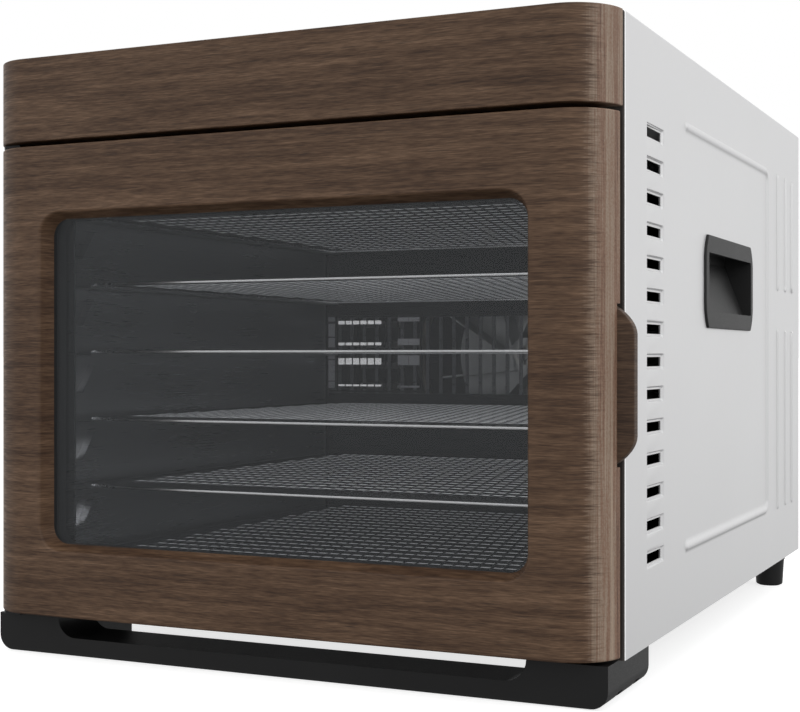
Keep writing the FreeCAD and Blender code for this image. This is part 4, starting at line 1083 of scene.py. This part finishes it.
# ---------------------------------------------------------------- carried-over nodes
EDGE_WIDTHS = {
    "rear_panel": 0.25, "rear_vent_grille": 0.5, "power_inlet": 0.4, "door_inner_frame": 0.3,
    "door_seal": 0.6, "upper_hinge_bracket": 0.3, "lower_hinge_bracket": 0.3, "door_glass": 0.25,
    "foot_pads": 0.3, "case_screws": 0.4, "door_screws": 0.4, "door_magnets": 0.3, "fan_nut": 0.3,
}
OWN_FINISH = {
    # The hinge brackets take the near-black finish, painted shade of the gap they sit in.
    "upper_hinge_bracket": "hinge_painted_shade", "lower_hinge_bracket": "hinge_painted_shade",
    "rack_wall_right": "rack_steel", "rack_wall_left": "rack_steel",
    "rack_ledges_right": "rack_steel", "rack_ledges_left": "rack_steel",
    "fan_guard": "guard_steel",
}


def dress(skip):
    """Give every CAD node that stays its material, and round the edges of the plain ones."""
    slots = {row["node"]: row["material_slot"] for row in frame["record"]["subparts"]}
    for name, node in NODES.items():
        if name in skip:
            continue
        node.data.materials.clear()
        node.data.materials.append(MATERIALS[OWN_FINISH.get(name, slots[name])])
        if name in EDGE_WIDTHS:
            weld = node.modifiers.new("weld", "WELD")
            weld.merge_threshold = 1e-6
            edge = node.modifiers.new("edges", "BEVEL")
            edge.width = EDGE_WIDTHS[name] * MM
            edge.segments = 2
            edge.limit_method = "ANGLE"
            edge.angle_limit = math.radians(40)
            weighted = node.modifiers.new("normals", "WEIGHTED_NORMAL")
            weighted.keep_sharp = True


# ---------------------------------------------------------------- studio
# In metres, degrees and watts; the lens in millimetres.
FLOOR_HALF = 150.0
KEY_PLACE = (1.9, -0.5, 1.2)
KEY_TURN = (62.0, 0.0, 75.0)
KEY_POWER = 12.0
CAMERA_PLACE = (0.3577, -0.8394, 0.1545)
CAMERA_TURN = (90.0, 0.0, 25.0)
CAMERA_LENS = 67.18


def floor():
    """Pale floor that glows a little, so that it meets the white surroundings."""
    bm = bmesh.new()
    bmesh.ops.create_grid(bm, x_segments=1, y_segments=1, size=FLOOR_HALF)
    ground = new_object("floor", bm)
    pale = Finish("floor_paint", (0.45, 0.45, 0.45), 0.8)
    cloud = pale.noise((1.5, 1.5, 1.5), 2.0)
    pale.colour(pale.ramp(cloud, [(0.3, (0.44, 0.44, 0.44)), (0.7, (0.46, 0.46, 0.46))]))
    pale.set("Emission Color", (1.0, 1.0, 1.0, 1.0))
    pale.set("Emission Strength", 0.75)
    ground.data.materials.append(pale.material)
    ground.visible_glossy = False
    ground.visible_diffuse = False
    ground.visible_shadow = False


def surroundings():
    """White world that darkens below the horizon."""
    world = bpy.data.worlds.new("studio")
    world.use_nodes = True
    tree = world.node_tree
    background = tree.nodes["Background"]
    background.inputs["Strength"].default_value = 1.0
    coordinates = tree.nodes.new("ShaderNodeTexCoord")
    parts = tree.nodes.new("ShaderNodeSeparateXYZ")
    tree.links.new(coordinates.outputs["Generated"], parts.inputs["Vector"])
    fade = tree.nodes.new("ShaderNodeMapRange")
    fade.interpolation_type = "SMOOTHSTEP"
    fade.inputs["From Min"].default_value = -0.35
    fade.inputs["From Max"].default_value = 0.0
    fade.inputs["To Min"].default_value = 0.3
    fade.inputs["To Max"].default_value = 1.0
    tree.links.new(parts.outputs["Z"], fade.inputs["Value"])
    tree.links.new(fade.outputs["Result"], background.inputs["Color"])
    bpy.context.scene.world = world


def stand(name, data, place, turn):
    """Put a lamp or a camera in the scene, turned by angles in degrees."""
    thing = bpy.data.objects.new(name, data)
    thing.location = place
    thing.rotation_euler = [math.radians(angle) for angle in turn]
    bpy.context.scene.collection.objects.link(thing)
    return thing


def key_light():
    """Soft light from the right front."""
    lamp = bpy.data.lights.new("key", "AREA")
    lamp.shape = "RECTANGLE"
    lamp.size, lamp.size_y = 1.4, 1.0
    lamp.energy = KEY_POWER
    stand("key", lamp, KEY_PLACE, KEY_TURN)


def view():
    """Camera at the photo's angle."""
    lens = bpy.data.cameras.new("view")
    lens.lens = CAMERA_LENS
    lens.sensor_width = 36.0
    lens.clip_start = 0.01
    lens.clip_end = 500.0
    bpy.context.scene.camera = stand("view", lens, CAMERA_PLACE, CAMERA_TURN)
    bpy.context.scene.view_settings.view_transform = "Standard"


outer_wrap()
control_panel()
door_frame()
door_handle_tab()
carry_handle(1)
carry_handle(-1)
front_foot_bar()
rear_foot(1)
rear_foot(-1)
trays()
duct_louvre()
REPLACED = {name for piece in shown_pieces() for name in piece.get("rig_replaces", [])}
dress(REPLACED)
floor()
surroundings()
key_light()
view()
